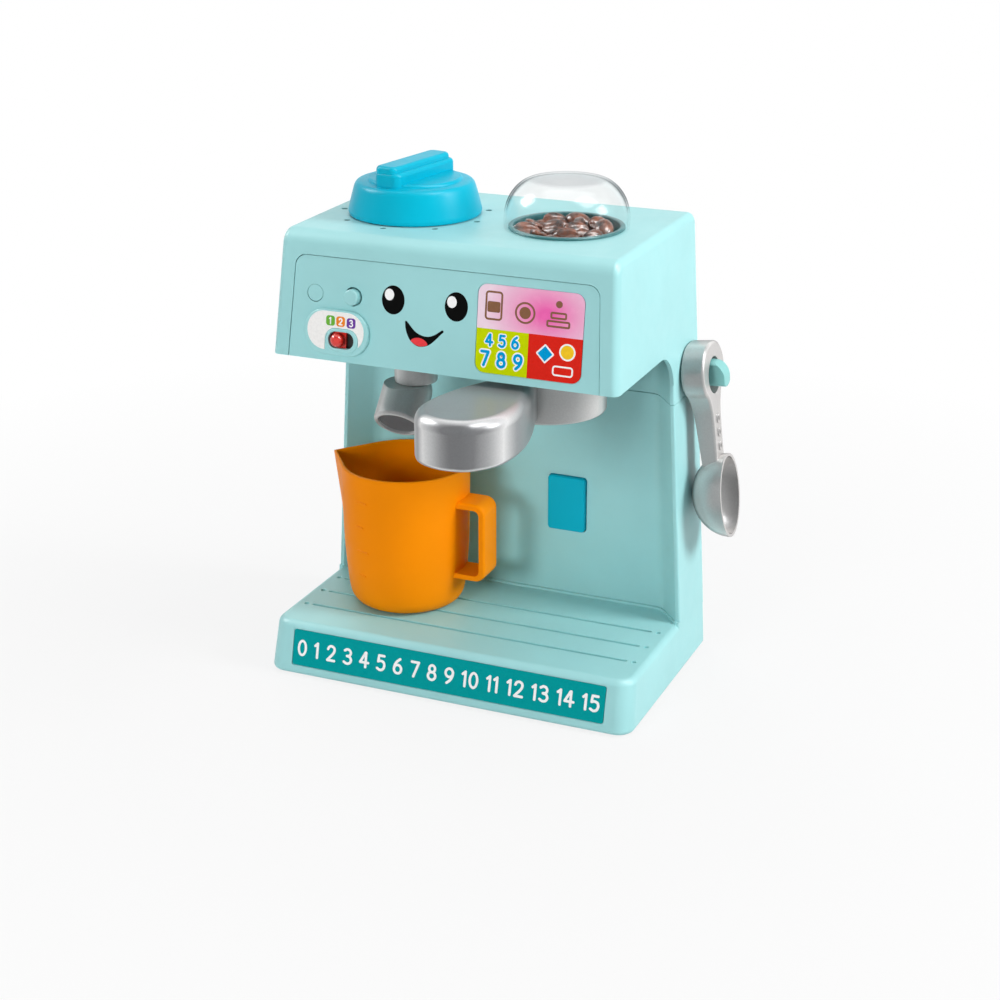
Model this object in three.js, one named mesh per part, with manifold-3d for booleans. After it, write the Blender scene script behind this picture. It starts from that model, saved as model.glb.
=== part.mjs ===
// A toy coffee maker: a machine with a dial, a bean dome, a swinging handle and a measuring jug.
// Lengths are in millimetres. X runs to the right, -Y to the front, +Z up. The pieces are made
// about the middle of the base, and the whole is moved to the middle of its own footprint at the end.
import * as THREE from 'three';
import { mergeVertices } from 'three/addons/utils/BufferGeometryUtils.js';
import Module from 'manifold-3d';

const wasm = await Module();
wasm.setup();

// Clearances and wall sizes that many pieces share
const gap = 0.3;
const seat = 0.15;
const wall = 2.4;
const overrun = 20;
const screwRadius = 1.3;
const screwHeadRadius = 2.6;
const screwHeadThick = 1.4;
const postRadius = 4;

// Whole machine: its sides lean in, so a width is given at the floor and at the top
const machineTall = 240;
const halfAtFloor = 102.25;
const halfAtTop = 88.2;
const frontAtFloor = 63;
const rear = 63;

// Base and tray: an inset is measured from the machine's half width at the floor, or from its rear
const baseLow = 0.8;
const trayTop = 28.5;
const frontAtTray = 56.1;
const baseFrontCorner = 9;
const baseRearCorner = 4.8;
const baseEdge = 2.8;
const baseWall = 3.6;
const saddleTall = 1.2;
const saddleStep = 1.5;
const grooveInset = 12.25;
const grooveSetback = 23.4;
const groovePitch = 19;
const grooveWide = 2;
const grooveDeep = 1;
const dimpleInset = 8.75;
const dimpleRadius = 1.4;
const stripInset = 14.45;
const stripLow = 6.2;
const stripTopMargin = 3.92;
const labelThick = 0.4;
const labelSink = 0.6;
const labelCorner = 1;
const coverThick = 2.4;
const coverInset = 4;
const footRadius = 7;
const footInset = 18.25;
const footSetback = 15;
const footThick = 1.8;
const footEdge = 0.3;
const basePostInset = 32.25;
const basePostSetback = 17;

// Three cells in their box under the tray
const cellRadius = 7.1;
const cellLong = 50.2;
const cellSpacing = 1.8;
const cellRaise = 0.6;
const cellPlay = 0.1;
const tipRadius = 2.7;
const tipLong = 1.2;
const contactThick = 0.5;
const contactTall = 11;
const springRoom = 4.45;
const headRoom = 1.1;
const boxWall = 1.6;
const doorLip = 2.2;
const doorRecess = 0.8;
const doorScrewInset = 5;
const doorTongueLong = 4;

// Column between base and head
const flangeFront = 20;
const flangeTip = 2.4;
const flangeRound = 1;
const coveRound = 10;
const coveWide = 15;
const backWallFront = 35;
const seamDrop = 28.56;
const wireFrontInset = 4.6;
const wireRearInset = 5.1;
const columnRearCorner = 4;
const columnPostHigh = 60;
const columnPostInset = 40.25;
const neckPostDrop = 11.56;
const neckPostInset = 50.25;

// Head, measured down from the machine's top
const headTall = 62.44;
const headFrontLow = 61.56;
const headFrontHigh = 53.26;
const headTopRound = 8;
const headRearRound = 6;
const headEdge = 4.2;
const gussetRadius = 18;
const panelMargin = 9.4;
const panelTall = 51.1;
const panelCorner = 6;
const panelSink = 0.25;
const panelLedge = 2.5;
const panelFlangeThick = 1.6;
const rearCoverThick = 2.4;
const rearCoverInset = 5;
const rearCoverLow = 41;
const rearCoverTopInset = 9;
const undersideThick = 2.2;

// Front panel features: insets are measured from the panel's side, heights up its slope from its bottom edge
const flushButtonInset = 13.85;
const proudButtonInset = 34.65;
const buttonHigh = 32.8;
const flushButtonRadius = 4.4;
const proudButtonRadius = 4.6;
const proudButtonOut = 2.6;
const buttonEdge = 0.8;
const buttonFlangeRadius = 6.2;
const buttonFlangeThick = 1.2;
const buttonStemRadius = 3;
const buttonLong = 8.6;
const buttonTravel = 1.2;
const boardDepth = 12;
const boardThick = 1.6;
const boardInset = 8.45;
const boardLow = 6;
const boardTopInset = 7.1;
const boardPostRadius = 2.6;
const boardPostInset = 8;
const boardPostRise = 2.6;
const domeSwitchRadius = 3.4;
const stagePlateInset = 27.05;
const stagePlateHalf = 17.7;
const stagePlateLow = 2.7;
const stagePlateTall = 23.6;
const stagePlateCorner = 9;
const stagePlateThick = 2;
const stagePlateEdge = 0.7;
const stageLabelInset = 2.3;
const slotAside = 2;
const slotRise = 8.2;
const slotHalf = 7.2;
const slotHalfTall = 4.3;
const sliderTravel = 5.6;
const sliderRadius = 3.6;
const sliderOut = 6;
const sliderFlangeHalf = 5.2;
const sliderFlangeLip = 1.1;
const sliderFlangeThick = 1.4;
const sliderBayHalf = 10.6;
const sliderBayLip = 1.5;
const switchBodyHalf = 9.6;
const switchBodyLip = 0.6;
const screenInset = 36.75;
const screenHalf = 27.1;
const screenLow = 3.9;
const screenTall = 42.8;
const screenCorner = 4.9;

// Dial on the head: its place is inset from the half width at the top, and its outline is given in shares of
// its radius and height
const dialInset = 46.2;
const dialAlong = 3;
const dialRadius = 33.9;
const dialTall = 18.8;
const dialRoof = 4.3;
const dialShoulder = 6.4;
const dialSkirtShares = [
  [0.985, 0.027],
  [1, 0.117],
  [0.95, 0.426],
  [0.906, 0.691],
  [0.85, 0.851],
  [0.755, 0.947],
  [0.531, 0.984],
  [0, 1],
];
const gripTurn = 9.3 * Math.PI / 180;
const dialStemRadius = 7;
const dialKeeperRadius = 11;
const dialKeeperThick = 2;
const gripHalfLong = 24.6;
const gripHalfWide = 7.6;
const gripTall = 8.8;
const gripEdge = 2.8;
const gripRound = 5.5;
const ringDotOut = 3.5;
const ringDots = 9;
const ringDotDeep = 0.7;
const dialScrewLong = 14;

// Dome and beans on the head, given as the dial is
const domeInset = 47.7;
const domeAlong = 3;
const domeRadius = 31.2;
const domeTall = 24.2;
const domeWall = 1.5;
const domeShares = [
  [0.991, 0.008],
  [1, 0.197],
  [0.982, 0.394],
  [0.927, 0.61],
  [0.835, 0.787],
  [0.716, 0.929],
  [0.595, 0.992],
  [0, 1],
];
const wellLipWide = 1.5;
const wellLipPlay = 0.5;
const wellLipThick = 1.2;
const wellDeep = 13;
const wellWall = 1.2;
const bedThick = 7.35;
const beanLong = 7;
const beanWide = 5.2;
const beanTall = 3.9;
const beanTip = 0.3;
const beanRound = 8;
// Each bean's place, as shares of the bed's radius and of a bean's height, and its turn in degrees
const beanShares = [
  [-0.637, -0.262, 0.56, 20],
  [-0.225, -0.375, 0.87, 100],
  [0.187, -0.449, 0.51, 35],
  [0.599, -0.337, 0.67, 150],
  [-0.655, 0.187, 0.77, 80],
  [-0.262, 0.112, 0.92, 160],
  [0.187, 0.037, 0.95, 60],
  [0.618, 0.15, 0.82, 15],
  [-0.375, 0.524, 0.56, 30],
  [0.15, 0.524, 0.87, 120],
];

// Brew group under the head: hub, basket and handle
const brewAcross = 36;
const brewAlong = -8;
const hubFlangeRadius = 16;
const hubFlangeThick = 1.6;
const hubRadius = 7;
const basketRadius = 29.5;
const basketClear = 2.56;
const basketTall = 25.7;
const basketWall = 2.2;
const basketFloor = 5;
const basketEdge = 1.2;
const keeperRadius = 10.5;
const keeperDeep = 3;
const keeperThick = 1.6;
const handleClear = 3.16;
const handleTall = 24.1;
const handleEdge = 4;
const handleTurn = 5.8 * Math.PI / 180;
const handleReach = 110;
const handleHalf = 23.2;
// The handle's outline: half widths as shares of its widest half, places along it as shares of its reach
const handleShares = [
  [0.302, 0.2],
  [0.41, 0.291],
  [0.668, 0.418],
  [0.897, 0.564],
  [1, 0.7],
  [0.983, 0.818],
  [0.797, 0.909],
  [0.496, 0.973],
];

// Steam wand under the head
const wandAcross = -34;
const wandAlong = -16;
const collarRadius = 11.1;
const collarTall = 20.26;
const collarBore = 5;
const wandStemPlay = 0.2;
const elbowDrop = 25.06;
const elbowSteps = 4;
const nozzleRadius = 12.9;
const nozzleRise = 18.5;
const nozzleReach = 22.5;
const nozzleAside = 1;
const nozzleEdge = 2;
const nozzleRim = 2.4;
const nozzleRecess = 1.6;

// Cup pad in the back wall
const padAcross = 30.5;
const padHalf = 10.6;
const padLow = 66;
const padTall = 30.6;
const padCorner = 2;
const padOut = 2.4;
const padFlange = 2;
const padThick = 2.2;
const padTravel = 2;
const padPostAside = 6.4;
const padPostRadius = 3;

// Scoop and its peg, on the leaning right side: heights run up its slope
const scoopAlong = 45.5;
const pegDrop = 18.26;
const pegRadius = 7;
const pegOut = 20.4;
const pegEdge = 1.6;
const pegStemRadius = 4;
const scoopEyeRadius = 9.6;
const scoopEyeRing = 2;
const scoopHeadHalf = 17.4;
const scoopNeckHalf = 6.2;
const scoopNeckSink = 5.2;
// The scoop's head outline, as shares of its half width, seen from the middle of its eye
const scoopHeadShares = [
  [0.362, -1.468],
  [0.414, -0.951],
  [0.586, -0.606],
  [0.851, -0.319],
  [1, 0],
  [0.989, 0.342],
  [0.793, 0.687],
  [0.46, 0.934],
];
const scoopTilt = 3.5 * Math.PI / 180;
const bowlDrop = 64;
const bowlHalfWide = 16.6;
const bowlHalfTall = 22.6;
const bowlDeep = 20.3;
const bowlWall = 1.6;
const bowlRimStep = 3.45;
const scoopBack = 1.5;
const scoopThick = 12;
const scoopTaper = 3.6;
const scoopSkin = 2;
const scoopEdge = 1;

// Jug on the tray: its rim hangs on the head's height, so that it fits under the wand
const jugAcross = -47.5;
const jugAlong = -2;
const jugRadius = 34.5;
const jugClear = 70.56;
// The jug's outline: shares of its rim's radius and of its height
const jugShares = [
  [0.66, 0],
  [0.79, 0.016],
  [0.875, 0.056],
  [0.913, 0.126],
  [0.947, 0.273],
  [0.965, 0.4],
  [0.975, 0.502],
  [0.985, 0.745],
  [1, 0.99],
  [0.991, 1],
];
const jugWall = 2;
const spoutOut = 8.8;
const spoutLowShare = 0.094;
const jugHandleOut = 49;
const jugHandleTopShare = 0.793;
const jugHandleLowShare = 0.235;
const jugHandleThick = 3.3;
const jugHandleHalf = 8.7;
const jugHandleCorner = 5;
const jugHandleEdge = 0.8;

// Speaker on the rear cover
const speakerHigh = 104;
const speakerRadius = 20;
const speakerThick = 7;
const grilleSlots = 5;
const grillePitch = 6;
const grilleSlotInset = 7;
const grilleSlotWide = 2.4;

// Smoothness: how many straight steps stand for a curve
const dotSteps = 3;
const bowlSteps = 20;
const cornerSteps = 3;
const edgeSteps = 2;
const fineEdgeSteps = 4;
const splineSteps = 1;
const fineSplineSteps = 2;
const roundSteps = 16;
const midRoundSteps = 8;
const smallRoundSteps = 6;
const turnedSteps = 32;
const nozzleSteps = 20;
const jugSteps = 36;

// Heights, places and leans that follow from the sizes above
const headLow = machineTall - headTall;
const seamHigh = headLow - seamDrop;
const trayLean = (frontAtFloor - frontAtTray) / trayTop;
const headLean = (headFrontLow - headFrontHigh) / headTall;
const sideLean = (halfAtFloor - halfAtTop) / machineTall;
const saddleTop = trayTop + saddleTall;
const stripHigh = Math.hypot(trayTop, frontAtFloor - frontAtTray) - stripTopMargin;
const stripHalf = halfAtFloor - stripInset;
const cellPitch = 2 * cellRadius + cellSpacing;
const cellsHalfLong = cellLong / 2 + seat + contactThick + springRoom;
const cellsHalfWide = cellPitch + cellRadius + cellPlay;
const boxHalfLong = cellsHalfLong + boxWall + doorLip;
const boxHalfWide = cellsHalfWide + boxWall + doorLip;
const boxLow = baseLow + coverThick + seat;
const boxTall = cellRaise + 2 * cellRadius + headRoom + boxWall;
const doorScrewOut = boxHalfLong - doorScrewInset;
const coverFront = rear - rearCoverThick;
const rearCoverHigh = machineTall - rearCoverTopInset;
const neckPostHigh = headLow - neckPostDrop;
const columnPostAcross = halfAtFloor - columnPostInset;
const neckPostAcross = halfAtFloor - neckPostInset;
const panelHalfLow = halfAt(headLow) - panelMargin;
const panelHalfHigh = halfAt(headLow + panelTall / Math.hypot(1, headLean)) - panelMargin;
const flushButtonAcross = flushButtonInset - panelHalfLow;
const proudButtonAcross = proudButtonInset - panelHalfLow;
const boardHalf = panelHalfLow - boardInset;
const boardHigh = panelTall - boardTopInset;
const stagePlateAcross = stagePlateInset - panelHalfLow;
const slotAcross = stagePlateAcross + slotAside;
const slotHigh = stagePlateLow + slotRise;
const sliderAcross = slotAcross - sliderTravel / 2;
const screenAcross = panelHalfLow - screenInset;
const dialAcross = dialInset - halfAtTop;
const domeAcross = halfAtTop - domeInset;
const wellLipRadius = domeShares[0][0] * domeRadius - domeWall - wellLipPlay;
const wellRadius = wellLipRadius - wellLipWide;
const collarLow = headLow - collarTall;
const elbowHigh = headLow - elbowDrop;
const padHigh = padLow + padTall;
const padPostAcross = padHalf + padPostAside;
const pegUp = headLow - pegDrop;
const jugLow = trayTop + seat;
const jugTall = headLow - jugClear - jugLow;
const jugProfile = jugShares.map(([out, up]) => [out * jugRadius, jugLow + up * jugTall]);

const toX = new THREE.Vector3(1, 0, 0);
const toY = new THREE.Vector3(0, 1, 0);
const toZ = new THREE.Vector3(0, 0, 1);
const plan = new THREE.Matrix4();
const sideView = new THREE.Matrix4().makeBasis(toY, toZ, toX);
const frontView = new THREE.Matrix4().makeBasis(toX, toZ, toY.clone().negate());

// A frame on the head's leaning front, with its third axis straight out of the panel.
function leaningFrame(lean, front, low) {
  const up = new THREE.Vector3(0, lean, 1).normalize();
  const out = new THREE.Vector3().crossVectors(toX, up);
  const frame = new THREE.Matrix4().makeBasis(toX, up, out);
  return frame.setPosition(0, -front, low);
}
const panelFrame = leaningFrame(headLean, headFrontLow, headLow);
const stripFrame = leaningFrame(trayLean, frontAtFloor, 0);

// A frame on the leaning right side, with its first axis to the rear and its third one outwards.
function sideFrame() {
  const up = new THREE.Vector3(-sideLean, 0, 1).normalize();
  const out = new THREE.Vector3().crossVectors(toY, up);
  const frame = new THREE.Matrix4().makeBasis(toY, up, out);
  return frame.setPosition(halfAtFloor, scoopAlong, 0);
}
const rightSide = sideFrame();

// Half the machine's width at a height.
function halfAt(z) {
  return halfAtFloor - sideLean * z;
}

// Turns a three.js shape into a solid that can be joined and cut.
function toSolid(geometry) {
  const bare = geometry.index ? geometry.toNonIndexed() : geometry;
  bare.deleteAttribute('normal');
  bare.deleteAttribute('uv');
  const merged = mergeVertices(bare, 1e-4);
  return new wasm.Manifold(new wasm.Mesh({
    numProp: 3,
    vertProperties: new Float32Array(merged.attributes.position.array),
    triVerts: new Uint32Array(merged.index.array),
  }));
}

// The closed mesh of a finished solid.
function toGeometry(solid) {
  const mesh = solid.getMesh();
  const geometry = new THREE.BufferGeometry();
  const spots = new Float32Array(mesh.vertProperties);
  geometry.setAttribute('position', new THREE.BufferAttribute(spots, 3));
  geometry.setIndex(new THREE.BufferAttribute(new Uint32Array(mesh.triVerts), 1));
  return geometry;
}

// Sets a finished solid, made about its own axes, into a frame.
function place(solid, frame) {
  return toSolid(toGeometry(solid).applyMatrix4(frame));
}

// Leans the sides of a finished solid that was made with upright sides.
function leanSolid(solid) {
  return toSolid(reshape(toGeometry(solid), leanSides));
}

// Moves every point of a shape by a rule that changes the point in place.
function reshape(geometry, rule) {
  const spots = geometry.attributes.position;
  const spot = new THREE.Vector3();
  for (let i = 0; i < spots.count; i += 1) {
    spot.fromBufferAttribute(spots, i);
    rule(spot);
    spots.setXYZ(i, spot.x, spot.y, spot.z);
  }
  return geometry;
}

// Leans both sides in, as the whole machine does.
function leanSides(spot) {
  spot.x *= halfAt(spot.z) / halfAtFloor;
}

// Extrudes a flat outline from low to high in a frame, with its rims rounded by edge.
function slab(shape, low, high, { edge = 0, frame = plan, rims = edgeSteps, curves = cornerSteps } = {}) {
  const geometry = new THREE.ExtrudeGeometry(shape, {
    depth: high - low - 2 * edge,
    bevelEnabled: edge > 0,
    bevelThickness: edge,
    bevelSize: edge,
    bevelOffset: -edge,
    bevelSegments: rims,
    curveSegments: curves,
  });
  geometry.translate(0, 0, low + edge);
  geometry.applyMatrix4(frame);
  return geometry;
}

function solidSlab(shape, low, high, options) {
  return toSolid(slab(shape, low, high, options));
}

// An outline from corners given as [x, y] or [x, y, rounding].
function outline(corners) {
  const shape = new THREE.Shape();
  const count = corners.length;
  const at = (i) => new THREE.Vector2(corners[(i + count) % count][0], corners[(i + count) % count][1]);
  corners.forEach((corner, i) => {
    const here = at(i);
    const round = corner[2] || 0;
    const back = at(i - 1).sub(here);
    const ahead = at(i + 1).sub(here);
    const half = Math.acos(back.dot(ahead) / (back.length() * ahead.length())) / 2;
    const trim = round / Math.tan(half);
    const start = here.clone().addScaledVector(back.normalize(), trim);
    const end = here.clone().addScaledVector(ahead.normalize(), trim);
    if (i === 0) shape.moveTo(start.x, start.y);
    else shape.lineTo(start.x, start.y);
    if (round > 0) {
      const middle = back.clone().add(ahead).normalize();
      const centre = here.clone().addScaledVector(middle, round / Math.sin(half));
      const first = start.sub(centre).angle();
      const last = end.sub(centre).angle();
      const turnsRight = back.cross(ahead) > 0;
      shape.absarc(centre.x, centre.y, round, first, last, turnsRight);
    }
  });
  shape.closePath();
  return shape;
}

function block(left, right, low, high, round = 0) {
  return outline([[left, low, round], [right, low, round], [right, high, round], [left, high, round]]);
}

function disc(x, y, radius) {
  const shape = new THREE.Shape();
  shape.absarc(x, y, radius, 0, 2 * Math.PI, false);
  return shape;
}

// A round bar from low to high in a frame.
function bar(x, y, radius, low, high, { edge = 0, frame = plan, steps = smallRoundSteps } = {}) {
  const geometry = new THREE.ExtrudeGeometry(disc(x, y, radius), {
    depth: high - low - 2 * edge,
    bevelEnabled: edge > 0,
    bevelThickness: edge,
    bevelSize: edge,
    bevelOffset: -edge,
    bevelSegments: edgeSteps,
    curveSegments: steps,
  });
  geometry.translate(0, 0, low + edge);
  geometry.applyMatrix4(frame);
  return toSolid(geometry);
}

// Turns a profile of [radius, height] points about an upright axis at x, y.
function turned(points, x, y, steps = turnedSteps) {
  const profile = points.map(([radius, height]) => new THREE.Vector2(radius, height));
  const geometry = new THREE.LatheGeometry(profile, steps);
  geometry.rotateX(Math.PI / 2);
  geometry.translate(x, y, 0);
  return toSolid(geometry);
}

function joinAll(solids) {
  return solids.reduce((whole, next) => whole.add(next));
}

function cutAll(whole, cutters) {
  return cutters.reduce((left, cutter) => left.subtract(cutter), whole);
}

const machine = new THREE.Group();
machine.name = 'toy_coffee_maker';

// Adds a solid to the machine as a named mesh.
function addPart(name, solid, colour, extra = {}) {
  const geometry = toGeometry(solid);
  geometry.computeVertexNormals();
  const material = new THREE.MeshStandardMaterial({ color: colour, roughness: 0.45, ...extra });
  const part = new THREE.Mesh(geometry, material);
  part.name = name;
  machine.add(part);
}

const tealBody = 0x9fd6d6;
const deepTeal = 0x00a3a6;
const skyBlue = 0x00b5d5;
const silver = 0xb9babb;
const orange = 0xf78c00;
const red = 0xd8281c;
const white = 0xf4f4f2;
const pink = 0xe87fb6;
const brown = 0x5a2d16;
const black = 0x222222;
const steel = 0x9a9c9e;
const boardGreen = 0x1f6b3a;
const footGrey = 0x3a3a3a;

// Four places near the base's corners: inset from its sides, set back from its front and rear.
function fourCorners(inset, setback) {
  const across = halfAtFloor - inset;
  const front = setback - frontAtFloor;
  const back = rear - setback;
  return [[-across, front], [across, front], [across, back], [-across, back]];
}

// The way for the wires through the base's top and the column.
function wireWay(high) {
  const front = backWallFront + wall + wireFrontInset;
  return solidSlab(block(-columnPostAcross, columnPostAcross, front, rear - wall - wireRearInset), 0, high);
}

// The column's outline seen from above, before its sides lean in; grow moves its front forwards.
function columnOutline(grow = 0) {
  const front = flangeFront - grow;
  const wallFront = backWallFront - grow;
  return outline([
    [-halfAtFloor, front, flangeRound],
    [-halfAtFloor + flangeTip, front],
    [-halfAtFloor + coveWide, wallFront, coveRound],
    [halfAtFloor - coveWide, wallFront, coveRound],
    [halfAtFloor - flangeTip, front],
    [halfAtFloor, front, flangeRound],
    [halfAtFloor, rear, columnRearCorner],
    [-halfAtFloor, rear, columnRearCorner],
  ]);
}

function columnHollowOutline() {
  const side = halfAtFloor - wall;
  const front = backWallFront + wall;
  return outline([
    [-side, front + coveWide / 2],
    [-side + coveWide / 2, front],
    [side - coveWide / 2, front],
    [side, front + coveWide / 2],
    [side, rear - wall],
    [-side, rear - wall],
  ]);
}

function leaned(shape, low, high, options) {
  return toSolid(reshape(slab(shape, low, high, options), leanSides));
}

// Leans the base's front back, without moving its rear.
function leanFront(spot) {
  spot.y += trayLean * spot.z * (rear - spot.y) / (rear + frontAtFloor);
}

function makeBase() {
  const body = outline([
    [-halfAtFloor, -frontAtFloor, baseFrontCorner],
    [halfAtFloor, -frontAtFloor, baseFrontCorner],
    [halfAtFloor, rear, baseRearCorner],
    [-halfAtFloor, rear, baseRearCorner],
  ]);
  const side = halfAtFloor - baseWall;
  const hollow = outline([
    [-side, -frontAtFloor + baseWall, baseFrontCorner - baseWall],
    [side, -frontAtFloor + baseWall, baseFrontCorner - baseWall],
    [side, rear - baseWall, baseRearCorner - baseWall],
    [-side, rear - baseWall, baseRearCorner - baseWall],
  ]);
  const outer = toSolid(reshape(slab(body, baseLow, trayTop, { edge: baseEdge }), leanFront));
  const inner = toSolid(reshape(slab(hollow, -overrun, trayTop - wall), leanFront));
  const saddle = solidSlab(columnOutline(saddleStep), trayTop - baseEdge, saddleTop);
  const shell = leanSolid(cutAll(outer.add(saddle), [inner, wireWay(saddleTop + overrun)]));
  const posts = fourCorners(basePostInset, basePostSetback).map(([x, y]) =>
    bar(x, y, postRadius, baseLow + coverThick + seat, trayTop - wall / 2));
  const bores = fourCorners(basePostInset, basePostSetback).map(([x, y]) =>
    bar(x, y, screwRadius + gap / 2, 0, trayTop - 3 * wall));
  const grooveHalf = halfAtFloor - grooveInset;
  const dimpleOut = halfAtFloor - dimpleInset;
  const grooves = [0, 1, 2].flatMap((row) => {
    const y = grooveSetback - frontAtTray + row * groovePitch;
    const line = block(-grooveHalf, grooveHalf, y - grooveWide / 2, y + grooveWide / 2);
    const dots = [-dimpleOut, dimpleOut].map((x) =>
      bar(x, y, dimpleRadius, trayTop - grooveDeep, saddleTop, { steps: dotSteps }));
    return [solidSlab(line, trayTop - grooveDeep, saddleTop), ...dots];
  });
  const label = block(-stripHalf - gap, stripHalf + gap, stripLow - gap, stripHigh + gap, labelCorner);
  const labelBay = solidSlab(label, -labelSink, overrun, { frame: stripFrame });
  addPart('base_shell', cutAll(joinAll([shell, ...posts]), [labelBay, ...grooves, ...bores]), tealBody);
  const strip = block(-stripHalf, stripHalf, stripLow, stripHigh, labelCorner);
  const labelBack = seat - labelSink;
  const printed = solidSlab(strip, labelBack, labelBack + labelThick, { frame: stripFrame });
  addPart('strip_label', printed, deepTeal);
}

function makeBaseCover() {
  const side = halfAtFloor - coverInset;
  const plate = outline([
    [-side, -frontAtFloor + coverInset, baseFrontCorner - coverInset],
    [side, -frontAtFloor + coverInset, baseFrontCorner - coverInset],
    [side, rear - coverInset, baseRearCorner - coverInset],
    [-side, rear - coverInset, baseRearCorner - coverInset],
  ]);
  const top = baseLow + coverThick;
  const doorHalf = boxHalfLong - boxWall;
  const doorWide = boxHalfWide - boxWall;
  const door = block(-doorHalf - gap, doorHalf + gap, -doorWide - gap, doorWide + gap, labelCorner);
  const cornerSpots = fourCorners(basePostInset, basePostSetback);
  const footSpots = fourCorners(footInset, footSetback);
  const cuts = cornerSpots.flatMap(([x, y]) => [
    bar(x, y, screwRadius + gap, 0, top + overrun),
    bar(x, y, screwHeadRadius + gap, 0, baseLow + screwHeadThick),
  ]);
  const footBays = footSpots.map(([x, y]) => bar(x, y, footRadius + gap, 0, footThick + seat - labelSink));
  const cover = leanSolid(toSolid(reshape(slab(plate, baseLow, top), leanFront)));
  const opening = solidSlab(door, 0, top + overrun);
  addPart('base_cover', cutAll(cover, [opening, ...cuts, ...footBays]), tealBody);
  footSpots.forEach(([x, y], i) => {
    addPart('foot_' + (i + 1), bar(x, y, footRadius, 0, footThick - labelSink, { edge: footEdge }), footGrey);
  });
  cornerSpots.forEach(([x, y], i) => {
    const head = bar(x, y, screwHeadRadius, baseLow + seat, baseLow + screwHeadThick - seat);
    const shank = bar(x, y, screwRadius, baseLow + seat, trayTop - 4 * wall);
    addPart('base_screw_' + (i + 1), head.add(shank), steel, { metalness: 1 });
  });
}

function makeBatteries() {
  const shell = solidSlab(block(-boxHalfLong, boxHalfLong, -boxHalfWide, boxHalfWide, labelCorner),
    boxLow, boxLow + boxTall);
  const hollow = solidSlab(block(-cellsHalfLong, cellsHalfLong, -cellsHalfWide, cellsHalfWide), 0,
    boxLow + boxTall - boxWall);
  const screwHole = bar(doorScrewOut, 0, screwRadius + gap / 2, 0, boxLow + boxTall / 2);
  const tongueEnd = boxHalfLong - boxWall / 2;
  const tongue = solidSlab(block(cellsHalfLong - doorTongueLong, tongueEnd, -postRadius, postRadius),
    boxLow, boxLow + boxTall - boxWall / 2);
  addPart('battery_box', shell.subtract(hollow).add(tongue).subtract(screwHole), tealBody);
  const doorHalf = boxHalfLong - boxWall;
  const doorWide = boxHalfWide - boxWall;
  const plate = solidSlab(block(-doorHalf, doorHalf, -doorWide, doorWide, labelCorner),
    baseLow, boxLow - 2 * seat);
  const hole = bar(doorScrewOut, 0, screwRadius + gap, 0, boxLow + overrun);
  const headBay = bar(doorScrewOut, 0, screwHeadRadius + gap / 2, 0, baseLow + doorRecess);
  addPart('battery_door', cutAll(plate, [hole, headBay]), tealBody);
  const head = bar(doorScrewOut, 0, screwHeadRadius - gap / 2, baseLow, baseLow + doorRecess - seat);
  const shank = bar(doorScrewOut, 0, screwRadius, baseLow, boxLow + boxTall / 3);
  addPart('door_screw', head.add(shank), steel, { metalness: 1 });
  const axisHigh = boxLow + cellRaise + cellRadius;
  const half = cellLong / 2;
  [-1, 0, 1].forEach((row, i) => {
    const y = row * cellPitch;
    const canEnds = row === 0 ? [tipLong - half, half] : [-half, half - tipLong];
    const tipEnds = row === 0 ? [-half, 0] : [0, half];
    const can = bar(y, axisHigh, cellRadius, canEnds[0], canEnds[1], { frame: sideView });
    const tip = bar(y, axisHigh, tipRadius, tipEnds[0], tipEnds[1], { frame: sideView });
    addPart('battery_' + (i + 1), can.add(tip), black, { metalness: 0.4 });
  });
  const contactHalf = cellsHalfWide - 2 * cellPlay;
  const sheet = block(-contactHalf, contactHalf, axisHigh - contactTall / 2, axisHigh + contactTall / 2,
    labelCorner);
  const near = half + seat;
  const addContact = (name, low) =>
    addPart(name, solidSlab(sheet, low, low + contactThick, { frame: sideView }), steel, { metalness: 1 });
  addContact('contact_left', -near - contactThick);
  addContact('contact_right', near);
}

function postsTo(rearEnd, across, high) {
  return [-across, across].map((x) => bar(x, high, postRadius, -rearEnd, -backWallFront - wall / 2,
    { frame: frontView }));
}

function holesTo(rearEnd, across, high) {
  const radius = screwRadius + gap / 2;
  return [-across, across].map((x) => bar(x, high, radius, -rearEnd - overrun, -backWallFront - 3 * wall,
    { frame: frontView }));
}

// The switch behind the cup pad, measured forwards from the middle of the machine
const switchFront = -backWallFront - wall - seat - padThick - padTravel - seat;

// The opening in the rear walls that the rear cover fills, with upright sides.
function rearOpening() {
  const side = halfAtFloor - rearCoverInset + gap;
  return solidSlab(block(-side, side, coverFront - seat, 2 * rear), rearCoverLow - gap, rearCoverHigh + gap);
}

function makeColumn() {
  const low = saddleTop + seat;
  const outer = solidSlab(columnOutline(), low, seamHigh - seat);
  const hollow = solidSlab(columnHollowOutline(), low + wall, seamHigh + overrun);
  const window = solidSlab(block(padAcross - padHalf - gap, padAcross + padHalf + gap, padLow - gap,
    padHigh + gap, padCorner), -backWallFront - 2 * wall, -backWallFront + 2 * wall, { frame: frontView });
  const posts = postsTo(coverFront - seat, columnPostAcross, columnPostHigh);
  const padPosts = [-padPostAcross, padPostAcross].map((x) => bar(padAcross + x, (padLow + padHigh) / 2,
    padPostRadius, switchFront + seat, -backWallFront - wall / 2, { frame: frontView }));
  const shell = leanSolid(cutAll(outer, [hollow, wireWay(seamHigh), rearOpening()]));
  addPart('column_shell', cutAll(joinAll([shell, ...posts, ...padPosts]),
    [window, ...holesTo(coverFront, columnPostAcross, columnPostHigh)]), tealBody);
}

// The head's side view: a box with a rounded top, whose front leans back.
function headSideOutline() {
  return outline([
    [-headFrontLow, headLow],
    [rear, headLow],
    [rear, machineTall, headRearRound],
    [-headFrontHigh, machineTall, headTopRound],
  ]);
}

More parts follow.
